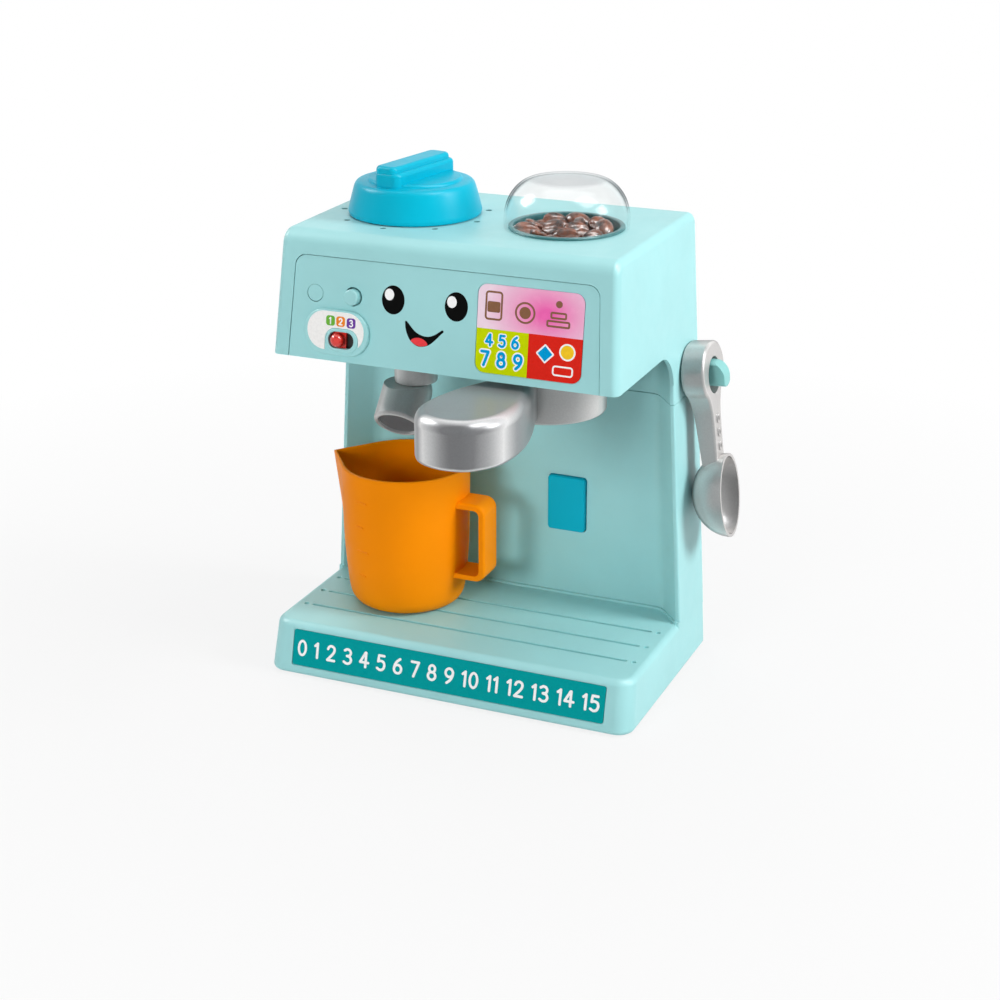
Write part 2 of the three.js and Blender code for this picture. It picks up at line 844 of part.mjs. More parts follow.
function headHollowOutline() {
  const high = machineTall - wall;
  const rise = headLow - overrun;
  return outline([
    [-headFrontLow + wall - headLean * overrun, rise],
    [rear - wall, rise],
    [rear - wall, high],
    [-headFrontHigh + wall - headLean * wall, high, headTopRound - wall],
  ]);
}

// The side walls' lower edge: straight under the head, then a hollow curve down to the column.
function sillOutline() {
  const front = -headFrontLow + headEdge;
  const curveFront = flangeFront - gussetRadius;
  const curveLow = headLow - gussetRadius;
  const shape = new THREE.Shape();
  shape.moveTo(front, headLow);
  shape.lineTo(curveFront, headLow);
  shape.absarc(curveFront, curveLow, gussetRadius, Math.PI / 2, 0, true);
  shape.lineTo(flangeFront + flangeTip, curveLow);
  shape.lineTo(flangeFront + flangeTip, headLow + headEdge);
  shape.lineTo(front + headLean * headEdge, headLow + headEdge);
  shape.closePath();
  return shape;
}

function panelOutline(grow, low) {
  const lowHalf = panelHalfLow + grow - low * (panelHalfLow - panelHalfHigh) / panelTall;
  return outline([
    [-lowHalf, low],
    [lowHalf, low],
    [panelHalfHigh + grow, panelTall + grow, panelCorner],
    [-panelHalfHigh - grow, panelTall + grow, panelCorner],
  ]);
}

function makeHead() {
  const inner = halfAtFloor - wall;
  const outer = solidSlab(headSideOutline(), -halfAtFloor, halfAtFloor,
    { edge: headEdge, frame: sideView, rims: fineEdgeSteps });
  const hollow = solidSlab(headHollowOutline(), -inner, inner, { frame: sideView });
  const neck = solidSlab(columnOutline(), seamHigh + seat, headLow + headEdge);
  const neckHollow = solidSlab(columnHollowOutline(), 0, machineTall);
  const sills = [-halfAtFloor, inner].map((low) =>
    solidSlab(sillOutline(), low, low + wall, { frame: sideView }));
  const front = solidSlab(panelOutline(gap, -overrun), -overrun, overrun, { frame: panelFrame });
  const ring = Array.from({ length: ringDots }, (_, i) => {
    const turn = -Math.PI / 2 + i * 2 * Math.PI / ringDots;
    const x = dialAcross + (dialRadius + ringDotOut) * Math.cos(turn);
    const y = dialAlong + (dialRadius + ringDotOut) * Math.sin(turn);
    return bar(x, y, dimpleRadius, machineTall - ringDotDeep, machineTall + overrun, { steps: dotSteps });
  });
  const dialHole = bar(dialAcross, dialAlong, dialStemRadius + gap, machineTall - overrun,
    machineTall + overrun);
  const well = bar(domeAcross, domeAlong, wellRadius + gap, machineTall - overrun, machineTall + overrun,
    { steps: roundSteps });
  const pegHole = bar(0, pegUp, pegStemRadius + seat, -overrun, overrun, { frame: rightSide });
  const straight = joinAll([outer.subtract(hollow), neck.subtract(neckHollow), ...sills]);
  const shell = leanSolid(straight.subtract(rearOpening()));
  const posts = postsTo(coverFront - seat, neckPostAcross, neckPostHigh);
  addPart('head_shell', cutAll(joinAll([shell, ...posts]), [front, dialHole, well, pegHole,
    ...ring, ...holesTo(coverFront, neckPostAcross, neckPostHigh)]), tealBody);
}

// The plate that closes the head from below, in front of the column's back wall.
function makeUnderside() {
  const front = -headFrontLow + panelLedge + panelFlangeThick + wall;
  const side = halfAtFloor - wall - gap;
  const narrow = halfAtFloor - coveWide - coveRound;
  const shoulder = flangeFront - gussetRadius - gap;
  const shape = outline([[-side, front], [side, front], [side, shoulder], [narrow, shoulder],
    [narrow, backWallFront - gap], [-narrow, backWallFront - gap], [-narrow, shoulder], [-side, shoulder]]);
  const low = headLow + seat;
  const plate = leaned(shape, low, low + undersideThick);
  const hubHole = bar(brewAcross, brewAlong, screwRadius + gap, 0, machineTall);
  const wandHole = bar(wandAcross, wandAlong, collarBore, 0, machineTall);
  addPart('head_underside', cutAll(plate, [hubHole, wandHole]), tealBody);
}

// Adds a piece that was made about the panel's own axes.
function addPanelPart(name, solid, colour) {
  addPart(name, place(solid, panelFrame), colour);
}

function screenOutline(grow) {
  return block(screenAcross - screenHalf - grow, screenAcross + screenHalf + grow, screenLow - grow,
    screenLow + screenTall + grow, screenCorner);
}

function makePanel() {
  const flangeFrontDepth = wall + seat;
  const back = flangeFrontDepth + panelFlangeThick;
  const face = solidSlab(panelOutline(0, 0), -back, -panelSink);
  const flange = solidSlab(panelOutline(panelLedge, seat), -back, -flangeFrontDepth);
  const postAcross = boardHalf - boardPostInset;
  const postHeights = [boardLow + boardPostRise, boardHigh - boardPostRise];
  const posts = [-postAcross, postAcross].flatMap((x) => postHeights.map((y) =>
    bar(x, y, boardPostRadius, -boardDepth + seat, -back + wall / 2)));
  const hole = (x, radius) => bar(x, buttonHigh, radius + gap, -overrun, overrun, { steps: midRoundSteps });
  const holes = [hole(flushButtonAcross, flushButtonRadius), hole(proudButtonAcross, proudButtonRadius)];
  const bayHalfTall = slotHalfTall + sliderBayLip;
  const sliderBay = solidSlab(block(slotAcross - sliderBayHalf, slotAcross + sliderBayHalf,
    slotHigh - bayHalfTall, slotHigh + bayHalfTall), -back - gap, overrun);
  const screenBay = solidSlab(screenOutline(gap), -panelSink - labelSink, overrun);
  const panel = cutAll(joinAll([face, flange, ...posts]), [...holes, sliderBay, screenBay]);
  addPanelPart('front_panel', panel, tealBody);
  const screenBack = -panelSink - labelSink + seat;
  addPanelPart('screen_label', solidSlab(screenOutline(0), screenBack, screenBack + labelThick), pink);
  return back;
}

function slotCut(low, high) {
  return solidSlab(block(slotAcross - slotHalf, slotAcross + slotHalf, slotHigh - slotHalfTall,
    slotHigh + slotHalfTall, slotHalfTall - gap), low, high);
}

function stageOutline(inset) {
  return block(stagePlateAcross - stagePlateHalf + inset, stagePlateAcross + stagePlateHalf - inset,
    stagePlateLow + inset, stagePlateLow + stagePlateTall - inset, stagePlateCorner - inset);
}

function makeStageSwitch() {
  const plateBack = -panelSink + seat;
  const plateFront = stagePlateThick;
  const plate = solidSlab(stageOutline(0), plateBack, plateFront, { edge: stagePlateEdge });
  addPanelPart('stage_plate', plate.subtract(slotCut(-overrun, overrun)), tealBody);
  const labelLow = plateFront + seat / 2;
  const label = solidSlab(stageOutline(stageLabelInset), labelLow, labelLow + labelThick);
  addPanelPart('stage_label', label.subtract(slotCut(-overrun, overrun)), white);
  const flangeTop = plateBack - seat;
  const flangeHalfTall = slotHalfTall + sliderFlangeLip;
  const flange = solidSlab(block(sliderAcross - sliderFlangeHalf, sliderAcross + sliderFlangeHalf,
    slotHigh - flangeHalfTall, slotHigh + flangeHalfTall, labelCorner),
    flangeTop - sliderFlangeThick, flangeTop);
  const knob = bar(sliderAcross, slotHigh, sliderRadius, flangeTop - sliderFlangeThick, sliderOut,
    { edge: buttonEdge, steps: midRoundSteps });
  addPanelPart('stage_slider', flange.add(knob), red);
  const bodyTop = flangeTop - sliderFlangeThick - seat;
  const bodyHalfTall = slotHalfTall + switchBodyLip;
  addPanelPart('stage_switch', solidSlab(block(slotAcross - switchBodyHalf, slotAcross + switchBodyHalf,
    slotHigh - bodyHalfTall, slotHigh + bodyHalfTall), -boardDepth + seat, bodyTop), black);
}

function makeButtons(panelBack) {
  const makeButton = (name, x, radius, out, colour) => {
    const flangeTop = -panelBack - seat;
    const cap = bar(x, buttonHigh, radius, flangeTop - buttonFlangeThick / 2, out,
      { edge: buttonEdge, steps: midRoundSteps });
    const flange = bar(x, buttonHigh, buttonFlangeRadius, flangeTop - buttonFlangeThick, flangeTop);
    const stem = bar(x, buttonHigh, buttonStemRadius, -buttonLong, flangeTop);
    addPanelPart(name, joinAll([cap, flange, stem]), colour);
    const padTop = -buttonLong - buttonTravel - seat;
    addPanelPart(name + '_contact', bar(x, buttonHigh, domeSwitchRadius, -boardDepth + seat, padTop), black);
  };
  makeButton('button_flush', flushButtonAcross, flushButtonRadius, -panelSink, tealBody);
  makeButton('button_proud', proudButtonAcross, proudButtonRadius, proudButtonOut, tealBody);
  const board = solidSlab(block(-boardHalf, boardHalf, boardLow, boardHigh, labelCorner),
    -boardDepth - boardThick, -boardDepth);
  addPanelPart('circuit_board', board, boardGreen);
}

function makeRearCover() {
  const side = halfAtFloor - rearCoverInset;
  const plate = leaned(block(-side, side, coverFront, rear), rearCoverLow, rearCoverHigh);
  const screwSpots = [[columnPostAcross, columnPostHigh], [neckPostAcross, neckPostHigh]].flatMap(([x, z]) =>
    [[-x, z], [x, z]]);
  const cuts = screwSpots.flatMap(([x, z]) => [
    bar(x, z, screwRadius + gap, -rear - overrun, 0, { frame: frontView }),
    bar(x, z, screwHeadRadius + gap, -rear - overrun, -rear + screwHeadThick, { frame: frontView }),
  ]);
  const slotReach = speakerRadius - grilleSlotInset;
  const slots = Array.from({ length: grilleSlots }, (_, i) => {
    const z = speakerHigh + (i - (grilleSlots - 1) / 2) * grillePitch;
    return solidSlab(block(-slotReach, slotReach, z - grilleSlotWide / 2, z + grilleSlotWide / 2),
      -rear - overrun, 0, { frame: frontView });
  });
  addPart('rear_cover', cutAll(plate, [...cuts, ...slots]), tealBody);
  screwSpots.forEach(([x, z], i) => {
    const head = bar(x, z, screwHeadRadius, -rear + seat, -rear + screwHeadThick - seat,
      { frame: frontView });
    const shank = bar(x, z, screwRadius, -rear + seat, -backWallFront - 4 * wall, { frame: frontView });
    addPart('rear_screw_' + (i + 1), head.add(shank), steel, { metalness: 1 });
  });
  const speakerBack = -coverFront + seat;
  const rim = bar(0, speakerHigh, speakerRadius, speakerBack, speakerBack + speakerThick / 3,
    { frame: frontView, steps: midRoundSteps });
  const magnet = bar(0, speakerHigh, speakerRadius / 2, speakerBack, speakerBack + speakerThick,
    { frame: frontView });
  addPart('speaker', rim.add(magnet), black);
}

function makeDial() {
  const stemLow = machineTall - wall - gap;
  const skirt = dialSkirtShares.map(([out, up]) => [out * dialRadius, machineTall + up * dialTall]);
  const ceiling = machineTall + dialTall - dialRoof;
  const profile = [
    [0, stemLow],
    [dialStemRadius, stemLow],
    [dialStemRadius, ceiling],
    [dialRadius - dialShoulder, ceiling],
    [skirt[0][0] - wall, skirt[0][1]],
    ...skirt,
  ];
  const frame = new THREE.Matrix4().makeRotationZ(-gripTurn).setPosition(dialAcross, dialAlong, 0);
  const grip = solidSlab(block(-gripHalfWide, gripHalfWide, -gripHalfLong, gripHalfLong, gripRound),
    ceiling + wall / 2, machineTall + dialTall + gripTall, { edge: gripEdge, frame, rims: fineEdgeSteps });
  const bore = bar(dialAcross, dialAlong, screwRadius + gap / 2, stemLow - overrun,
    stemLow + dialScrewLong + gap);
  addPart('dial_knob', turned(profile, dialAcross, dialAlong).add(grip).subtract(bore), skyBlue);
  const keeperTop = stemLow - seat;
  const keeperLow = keeperTop - dialKeeperThick;
  const keeper = bar(dialAcross, dialAlong, dialKeeperRadius, keeperLow, keeperTop, { steps: midRoundSteps });
  const hole = bar(dialAcross, dialAlong, screwRadius + gap / 2, keeperLow - overrun, keeperTop + overrun);
  addPart('dial_keeper', keeper.subtract(hole), black);
  const headTop = keeperLow - seat;
  const head = bar(dialAcross, dialAlong, screwHeadRadius, headTop - screwHeadThick, headTop);
  const shank = bar(dialAcross, dialAlong, screwRadius, headTop - screwHeadThick, stemLow + dialScrewLong);
  addPart('dial_screw', head.add(shank), steel, { metalness: 1 });
}

// One coffee bean: a flattened ball with a crease along its top.
function bean(x, y, z, turn, tip) {
  const ball = new THREE.SphereGeometry(1, beanRound, beanRound / 2 + 1);
  ball.scale(beanLong, beanWide, beanTall);
  ball.rotateX(tip);
  ball.rotateZ(turn);
  ball.translate(x, y, z);
  return toSolid(ball);
}

function makeDome() {
  const outer = domeShares.map(([out, up]) => [out * domeRadius, machineTall + up * domeTall]);
  const inner = outer.map(([radius, high]) => [Math.max(radius - domeWall, 0), high - domeWall]);
  inner[0][1] = outer[0][1];
  const profile = [inner[0], ...outer, ...inner.slice(1).reverse(), inner[0]];
  addPart('dome', turned(profile, domeAcross, domeAlong), white,
    { transparent: true, opacity: 0.3, roughness: 0.08 });
  const lipLow = machineTall + seat;
  const wellLow = machineTall - wellDeep;
  addPart('bean_well', turned([
    [0, wellLow],
    [wellRadius, wellLow],
    [wellRadius, lipLow],
    [wellLipRadius, lipLow],
    [wellLipRadius, lipLow + wellLipThick],
    [wellRadius - wellWall, lipLow + wellLipThick],
    [wellRadius - wellWall, wellLow + wellWall],
    [0, wellLow + wellWall],
  ], domeAcross, domeAlong), tealBody);
  const bedRadius = wellRadius - wellWall - gap;
  const bedLow = wellLow + wellWall + seat;
  const bed = bar(domeAcross, domeAlong, bedRadius, bedLow, bedLow + bedThick, { steps: midRoundSteps });
  const beans = beanShares.map(([across, along, up, degrees], i) =>
    bean(domeAcross + across * bedRadius, domeAlong + along * bedRadius, bedLow + bedThick + up * beanTall,
      degrees * Math.PI / 180, (i % 3 - 1) * beanTip));
  addPart('bean_bed', joinAll([bed, ...beans]), brown);
}

// A smooth outline through half widths at places along it, from a straight end at first to a tip at last.
function smoothShape(halves, first, last) {
  const right = halves.map(([along, half]) => new THREE.Vector2(half, along));
  const left = halves.map(([along, half]) => new THREE.Vector2(-half, along)).reverse();
  const shape = new THREE.Shape();
  shape.moveTo(right[0].x, first);
  shape.splineThru([...right.slice(1), new THREE.Vector2(0, last), ...left.slice(0, -1)]);
  shape.lineTo(left[left.length - 1].x, first);
  shape.closePath();
  return shape;
}

function makeBrewGroup() {
  const basketHigh = headLow - basketClear;
  const basketLow = basketHigh - basketTall;
  const flangeLow = headLow - hubFlangeThick;
  const hubLow = basketLow + keeperDeep + seat;
  const round = (radius, low, high) =>
    bar(brewAcross, brewAlong, radius, low, high, { steps: midRoundSteps });
  const bore = bar(brewAcross, brewAlong, screwRadius + gap / 2, 0, flangeLow);
  const hub = round(hubFlangeRadius, flangeLow, headLow).add(round(hubRadius, hubLow, headLow));
  addPart('brew_hub', hub.subtract(bore), silver, { metalness: 0.6 });
  const cup = bar(brewAcross, brewAlong, basketRadius, basketLow, basketHigh,
    { edge: basketEdge, steps: roundSteps });
  const inside = bar(brewAcross, brewAlong, basketRadius - basketWall, basketLow + basketFloor,
    basketHigh + overrun, { steps: roundSteps });
  const hole = round(hubRadius + gap, 0, basketHigh);
  const keeperBay = round(keeperRadius, 0, basketLow + keeperDeep);
  addPart('portafilter_basket', cutAll(cup, [inside, hole, keeperBay]), silver, { metalness: 0.6 });
  const keeperTop = hubLow - seat;
  const keeperLow = keeperTop - keeperThick;
  const keeperPlate = round(keeperRadius - 2 * gap, keeperLow, keeperTop);
  const shank = bar(brewAcross, brewAlong, screwRadius, keeperLow, flangeLow - 2 * gap);
  addPart('portafilter_keeper', keeperPlate.add(shank), steel, { metalness: 1 });
  const frame = new THREE.Matrix4().makeRotationZ(Math.PI - handleTurn).setPosition(brewAcross, brewAlong, 0);
  const halves = handleShares.map(([half, along]) => [along * handleReach, half * handleHalf]);
  const handleHigh = headLow - handleClear;
  const tongue = solidSlab(smoothShape(halves, halves[0][0], handleReach), handleHigh - handleTall,
    handleHigh, { edge: handleEdge, frame, rims: fineEdgeSteps, curves: fineSplineSteps });
  const clear = bar(brewAcross, brewAlong, basketRadius + seat, 0, machineTall, { steps: roundSteps });
  addPart('portafilter_handle', tongue.subtract(clear), silver, { metalness: 0.6 });
}

function makeWand() {
  const collar = bar(wandAcross, wandAlong, collarRadius, collarLow, headLow,
    { edge: seat, steps: midRoundSteps });
  const bore = bar(wandAcross, wandAlong, collarBore, 0, machineTall);
  addPart('wand_collar', collar.subtract(bore), silver, { metalness: 0.6 });
  const down = new THREE.Vector3(nozzleAside, -nozzleReach, -nozzleRise);
  const length = down.length();
  const facing = new THREE.Quaternion().setFromUnitVectors(toZ, down.clone().normalize());
  const frame = new THREE.Matrix4().makeRotationFromQuaternion(facing);
  frame.setPosition(wandAcross, wandAlong, elbowHigh);
  const elbow = Array.from({ length: elbowSteps + 1 }, (_, i) => {
    const turn = i * Math.PI / 2 / elbowSteps;
    return [nozzleRadius * Math.sin(turn), -nozzleRadius * Math.cos(turn)];
  });
  const profile = [
    ...elbow,
    [nozzleRadius, length - nozzleEdge],
    [nozzleRadius - nozzleEdge / 3, length - nozzleEdge / 3],
    [nozzleRadius - nozzleEdge, length],
    [nozzleRadius - nozzleRim, length],
    [nozzleRadius - nozzleRim, length - nozzleRecess],
    [0, length - nozzleRecess],
  ].map(([radius, along]) => new THREE.Vector2(radius, along));
  const body = new THREE.LatheGeometry(profile, nozzleSteps);
  body.rotateX(Math.PI / 2);
  body.applyMatrix4(frame);
  const stem = bar(wandAcross, wandAlong, collarBore - wandStemPlay, elbowHigh, headLow + undersideThick);
  const above = bar(wandAcross, wandAlong, 2 * collarRadius, collarLow - gap, machineTall);
  addPart('wand_nozzle', toSolid(body).subtract(above).add(stem), silver, { metalness: 0.6 });
}

// The pad in the back wall that a cup pushes, kept in by a wider plate behind the wall.
function makePad() {
  const back = backWallFront + wall;
  const face = solidSlab(block(padAcross - padHalf, padAcross + padHalf, padLow, padHigh, padCorner),
    -back - padTravel / 2, -backWallFront + padOut, { edge: padOut / 4, frame: frontView });
  const plate = solidSlab(block(padAcross - padHalf - padFlange, padAcross + padHalf + padFlange,
    padLow - padFlange, padHigh + padFlange, padCorner), -back - seat - padThick, -back - seat,
    { frame: frontView });
  addPart('cup_pad', face.add(plate), skyBlue);
  const middle = (padLow + padHigh) / 2;
  const body = solidSlab(block(padAcross - padHalf / 2, padAcross + padHalf / 2, padLow + padFlange,
    padHigh - padFlange), switchFront - 2 * padThick, switchFront, { frame: frontView });
  const reach = padPostAcross + padPostRadius;
  const bracket = solidSlab(block(padAcross - reach, padAcross + reach, middle - padPostRadius,
    middle + padPostRadius), switchFront - padThick, switchFront, { frame: frontView });
  addPart('cup_switch', body.add(bracket), black);
}

function makeScoop() {
  const peg = bar(0, pegUp, pegRadius, seat, pegOut, { edge: pegEdge, steps: midRoundSteps });
  const stem = bar(0, pegUp, pegStemRadius, -wall, seat + pegEdge);
  addPart('scoop_peg', place(peg.add(stem), rightSide), tealBody);
  const eyeUp = pegUp + pegRadius - scoopEyeRadius + seat;
  const bowlUp = eyeUp - bowlDrop;
  const neckLow = bowlUp + bowlHalfTall - scoopNeckSink;
  const front = scoopBack + scoopThick;
  const headHalves = scoopHeadShares.map(([half, up]) => [eyeUp + up * scoopHeadHalf, half * scoopHeadHalf]);
  const neckMiddle = (neckLow + headHalves[0][0]) / 2;
  const halves = [[neckLow, scoopNeckHalf], [neckMiddle, scoopNeckHalf], ...headHalves];
  const top = eyeUp + scoopHeadHalf;
  const outer = solidSlab(smoothShape(halves, neckLow, top), scoopBack, front,
    { edge: scoopEdge, curves: fineSplineSteps });
  const slope = scoopTaper / (eyeUp - neckLow);
  const behindLow = neckLow - overrun;
  const behind = solidSlab(outline([[eyeUp, scoopBack], [eyeUp, -overrun], [behindLow, -overrun],
    [behindLow, scoopBack + slope * (eyeUp - behindLow)]]), -overrun, overrun, { frame: sideView });
  const thin = halves.map(([up, half]) => [Math.min(up, top - 3 * scoopSkin), half - scoopSkin]);
  const eyeRing = bar(0, eyeUp, scoopEyeRadius + scoopEyeRing, -overrun, overrun, { steps: midRoundSteps });
  const pocket = solidSlab(smoothShape(thin, neckLow, top - scoopSkin), -overrun, front - scoopSkin,
    { curves: splineSteps }).subtract(eyeRing);
  const eye = bar(0, eyeUp, scoopEyeRadius, -overrun, overrun, { steps: midRoundSteps });
  const ball = new THREE.SphereGeometry(1, bowlSteps, bowlSteps / 2);
  const hollow = ball.clone().scale(bowlHalfWide - bowlWall, bowlHalfTall - bowlWall, bowlDeep - bowlWall);
  const shell = ball.scale(bowlHalfWide, bowlHalfTall, bowlDeep);
  const rimOut = front + bowlRimStep;
  const seatBowl = (shape) => toSolid(shape.translate(0, bowlUp, rimOut));
  const away = solidSlab(block(-overrun, overrun, 0, machineTall), rimOut, rimOut + 2 * overrun);
  const bowlSolid = seatBowl(shell).subtract(away);
  const handle = cutAll(outer, [pocket, eye, behind]);
  const frame = rightSide.clone()
    .multiply(new THREE.Matrix4().makeTranslation(0, eyeUp, 0))
    .multiply(new THREE.Matrix4().makeRotationX(-scoopTilt))
    .multiply(new THREE.Matrix4().makeTranslation(0, -eyeUp, 0));
  const whole = handle.add(bowlSolid).subtract(seatBowl(hollow));
  addPart('scoop', place(whole, frame), silver, { metalness: 0.6 });
}

// Draws the jug's wall out to its spout: a straight run from the round wall to the spout's tip.
function spoutPull(spot) {
  const x = spot.x - jugAcross;
  const y = spot.y - jugAlong;
  const radius = Math.hypot(x, y);
  const rise = ((spot.z - jugLow) / jugTall - spoutLowShare) / (1 - spoutLowShare);
  if (radius < jugProfile[0][0] - jugWall || rise <= 0) return;
  const spread = Math.acos(radius / (radius + spoutOut * Math.min(rise, 1)));
  const turn = Math.abs(Math.atan2(y, -x));
  if (turn >= spread) return;
  const longer = 1 / Math.cos(spread - turn);
  spot.x = jugAcross + x * longer;
  spot.y = jugAlong + y * longer;
}

function makeJug() {
  const turnJug = (points) => {
    const profile = points.map(([radius, height]) => new THREE.Vector2(radius, height));
    const geometry = new THREE.LatheGeometry(profile, jugSteps, Math.PI / 2);
    geometry.rotateX(Math.PI / 2);
    geometry.translate(jugAcross, jugAlong, 0);
    return toSolid(reshape(geometry, spoutPull));
  };
  const top = jugLow + jugTall;
  const outer = turnJug([[0, jugLow], ...jugProfile, [0, top]]);
  const inner = jugProfile.map(([radius, height]) => [radius - jugWall, height + jugWall]);
  const hollow = turnJug([[0, jugLow + jugWall], ...inner, [0, top + jugWall]]);
  const gripLow = jugLow + jugHandleLowShare * jugTall;
  const gripHigh = jugLow + jugHandleTopShare * jugTall;
  const grip = block(jugAcross, jugAcross + jugHandleOut, gripLow, gripHigh, jugHandleCorner);
  const eye = block(jugAcross, jugAcross + jugHandleOut - jugHandleThick, gripLow + jugHandleThick,
    gripHigh - jugHandleThick, jugHandleCorner - jugHandleThick);
  const strap = solidSlab(grip, -jugAlong - jugHandleHalf, -jugAlong + jugHandleHalf,
    { edge: jugHandleEdge, frame: frontView });
  const gapCut = solidSlab(eye, -rear, rear, { frame: frontView });
  addPart('jug', outer.add(strap.subtract(gapCut)).subtract(hollow), orange);
}

makeBase();
makeBaseCover();
makeBatteries();
makeColumn();
makeHead();
makeUnderside();
makeButtons(makePanel());
makeStageSwitch();
makeRearCover();
makeDial();
makeDome();
makeBrewGroup();
makeWand();
makePad();
makeScoop();
makeJug();

// Moves the origin to the middle of the whole part's footprint, at the height of its feet.
const bounds = new THREE.Box3().setFromObject(machine);
const middle = bounds.getCenter(new THREE.Vector3());
machine.children.forEach((part) => part.geometry.translate(-middle.x, -middle.y, -bounds.min.z));

export default machine;
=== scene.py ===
import math
import random

import bmesh
import bpy
from mathutils import Matrix, Quaternion, Vector


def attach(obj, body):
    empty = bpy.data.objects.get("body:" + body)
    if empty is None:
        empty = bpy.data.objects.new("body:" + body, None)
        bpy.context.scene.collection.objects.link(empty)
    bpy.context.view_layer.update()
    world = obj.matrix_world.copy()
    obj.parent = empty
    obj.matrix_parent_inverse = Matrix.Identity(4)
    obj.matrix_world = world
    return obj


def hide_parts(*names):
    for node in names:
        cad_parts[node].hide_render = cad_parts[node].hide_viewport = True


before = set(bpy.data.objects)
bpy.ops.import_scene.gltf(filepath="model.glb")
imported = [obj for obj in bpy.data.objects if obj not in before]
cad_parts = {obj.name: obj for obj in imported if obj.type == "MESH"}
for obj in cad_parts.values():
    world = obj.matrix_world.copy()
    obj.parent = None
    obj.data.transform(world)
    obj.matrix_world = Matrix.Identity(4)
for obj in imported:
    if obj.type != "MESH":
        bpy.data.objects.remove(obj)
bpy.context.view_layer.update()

# Lengths are in millimetres about the middle of the base. SHIFT takes that point to the row frame's origin.
MM = 0.001
SHIFT = Vector((-9.101, 27.136, 0))

GAP = 0.3
THROUGH = 20
WALL = 2.4
MACHINE_TALL = 240
HALF_FLOOR = 102.25
HALF_TOP = 88.2
FRONT_FLOOR = 63
REAR = 63
BASE_LOW = 0.8
BASE_WALL = 3.6
TRAY_TOP = 28.5
FRONT_TRAY = 56.1
HEAD_LOW = 177.56
HEAD_FRONT_LOW = 61.56
HEAD_FRONT_HIGH = 53.26
SEAM = 149
SADDLE_TOP = 29.7
FLANGE_FRONT = 20
BACK_WALL = 35
COVE = 15
HEAD_EDGE = 4.2
GUSSET = 18
DIAL = (-42, 3)
DOME = (40.5, 3)
DOME_WALL = 0.9
BREW = (36, -8)
WAND = (-34, -16)
JUG = (-47.5, -2)
DIAL_SPOTS = 37.4
PANEL_FACE = -0.25
PANEL_LOW_HALF = 82.455
PANEL_HIGH_HALF = 79.49
PANEL_TALL = 51.1
PEG_UP = 159.3
PEG_BACK = 45.5
MARKS_TURN = math.radians(-19)

tray_lean = (FRONT_FLOOR - FRONT_TRAY) / TRAY_TOP
head_lean = (HEAD_FRONT_LOW - HEAD_FRONT_HIGH) / (MACHINE_TALL - HEAD_LOW)
side_lean = (HALF_FLOOR - HALF_TOP) / MACHINE_TALL


# Frames: a flat outline is drawn in X and Y of a frame, and raised along its Z.
X, Y, Z = (Vector(axis) for axis in ((1, 0, 0), (0, 1, 0), (0, 0, 1)))


def frame_of(x, y, z, at=(0, 0, 0)):
    matrix = Matrix((x, y, z)).transposed().to_4x4()
    matrix.translation = Vector(at)
    return matrix


def leaning_frame(lean, front, low):
    up = Vector((0, lean, 1)).normalized()
    return frame_of(X, up, X.cross(up), (0, -front, low))


PLAN = Matrix.Identity(4)
SIDE_VIEW = frame_of(Y, Z, X)
FRONT_VIEW = frame_of(X, Z, -Y)
PANEL = leaning_frame(head_lean, HEAD_FRONT_LOW, HEAD_LOW)
STRIP = leaning_frame(tray_lean, FRONT_FLOOR, 0)
side_up = Vector((-side_lean, 0, 1)).normalized()
RIGHT_SIDE = frame_of(Y, side_up, Y.cross(side_up), (HALF_FLOOR, PEG_BACK, 0))


def standing(place):
    """The frame of a piece that turns about an upright axis."""
    return Matrix.Translation((*place, 0))


def lean_sides(p):
    """Draws the machine's upright sides in towards its top."""
    return Vector((p.x * (1 - side_lean * p.z / HALF_FLOOR), p.y, p.z))


def lean_front(p):
    """Draws the tray's upright front in towards its top."""
    return Vector((p.x, p.y + tray_lean * p.z * (REAR - p.y) / (REAR + FRONT_FLOOR), p.z))


# Outlines
def quarter(steps):
    """The angles that divide a quarter turn."""
    return [math.pi / 2 * k / steps for k in range(steps + 1)]


def rounded_corner(before, here, after, rounding, steps):
    """The arc that rounds the corner at here."""
    back = (before - here).normalized()
    ahead = (after - here).normalized()
    half = math.acos(max(-1, min(1, back.dot(ahead)))) / 2
    trim = rounding / math.tan(half)
    start = here + back * trim
    end = here + ahead * trim
    centre = here + (back + ahead).normalized() * (rounding / math.sin(half))
    first = math.atan2(*reversed(start - centre))
    turn = math.atan2(*reversed(end - centre)) - first
    turn = (turn + math.pi) % (2 * math.pi) - math.pi
    angles = [first + turn * k / steps for k in range(steps + 1)]
    return [centre + Vector((math.cos(a), math.sin(a))) * rounding for a in angles]


def outline(corners, steps=8):
    """An outline or profile from corners given as (x, y) or (x, y, rounding)."""
    places = [Vector(corner[:2]) for corner in corners]
    points = []
    for i, here in enumerate(places):
        rounding = corners[i][2] if len(corners[i]) > 2 else 0
        if rounding > 0:
            points += rounded_corner(places[i - 1], here, places[(i + 1) % len(places)], rounding, steps)
        else:
            points.append(here)
    return points


def block(left, right, low, high, rounding=0, steps=8):
    corners = ((left, low), (right, low), (right, high), (left, high))
    return outline([(*corner, rounding) for corner in corners], steps)


def ring(x, y, radius, steps=64, across=None):
    """A circle, or an ellipse where across is its half width along Y."""
    across = across or radius
    angles = [2 * math.pi * k / steps for k in range(steps)]
    return [Vector((x + radius * math.cos(a), y + across * math.sin(a))) for a in angles]


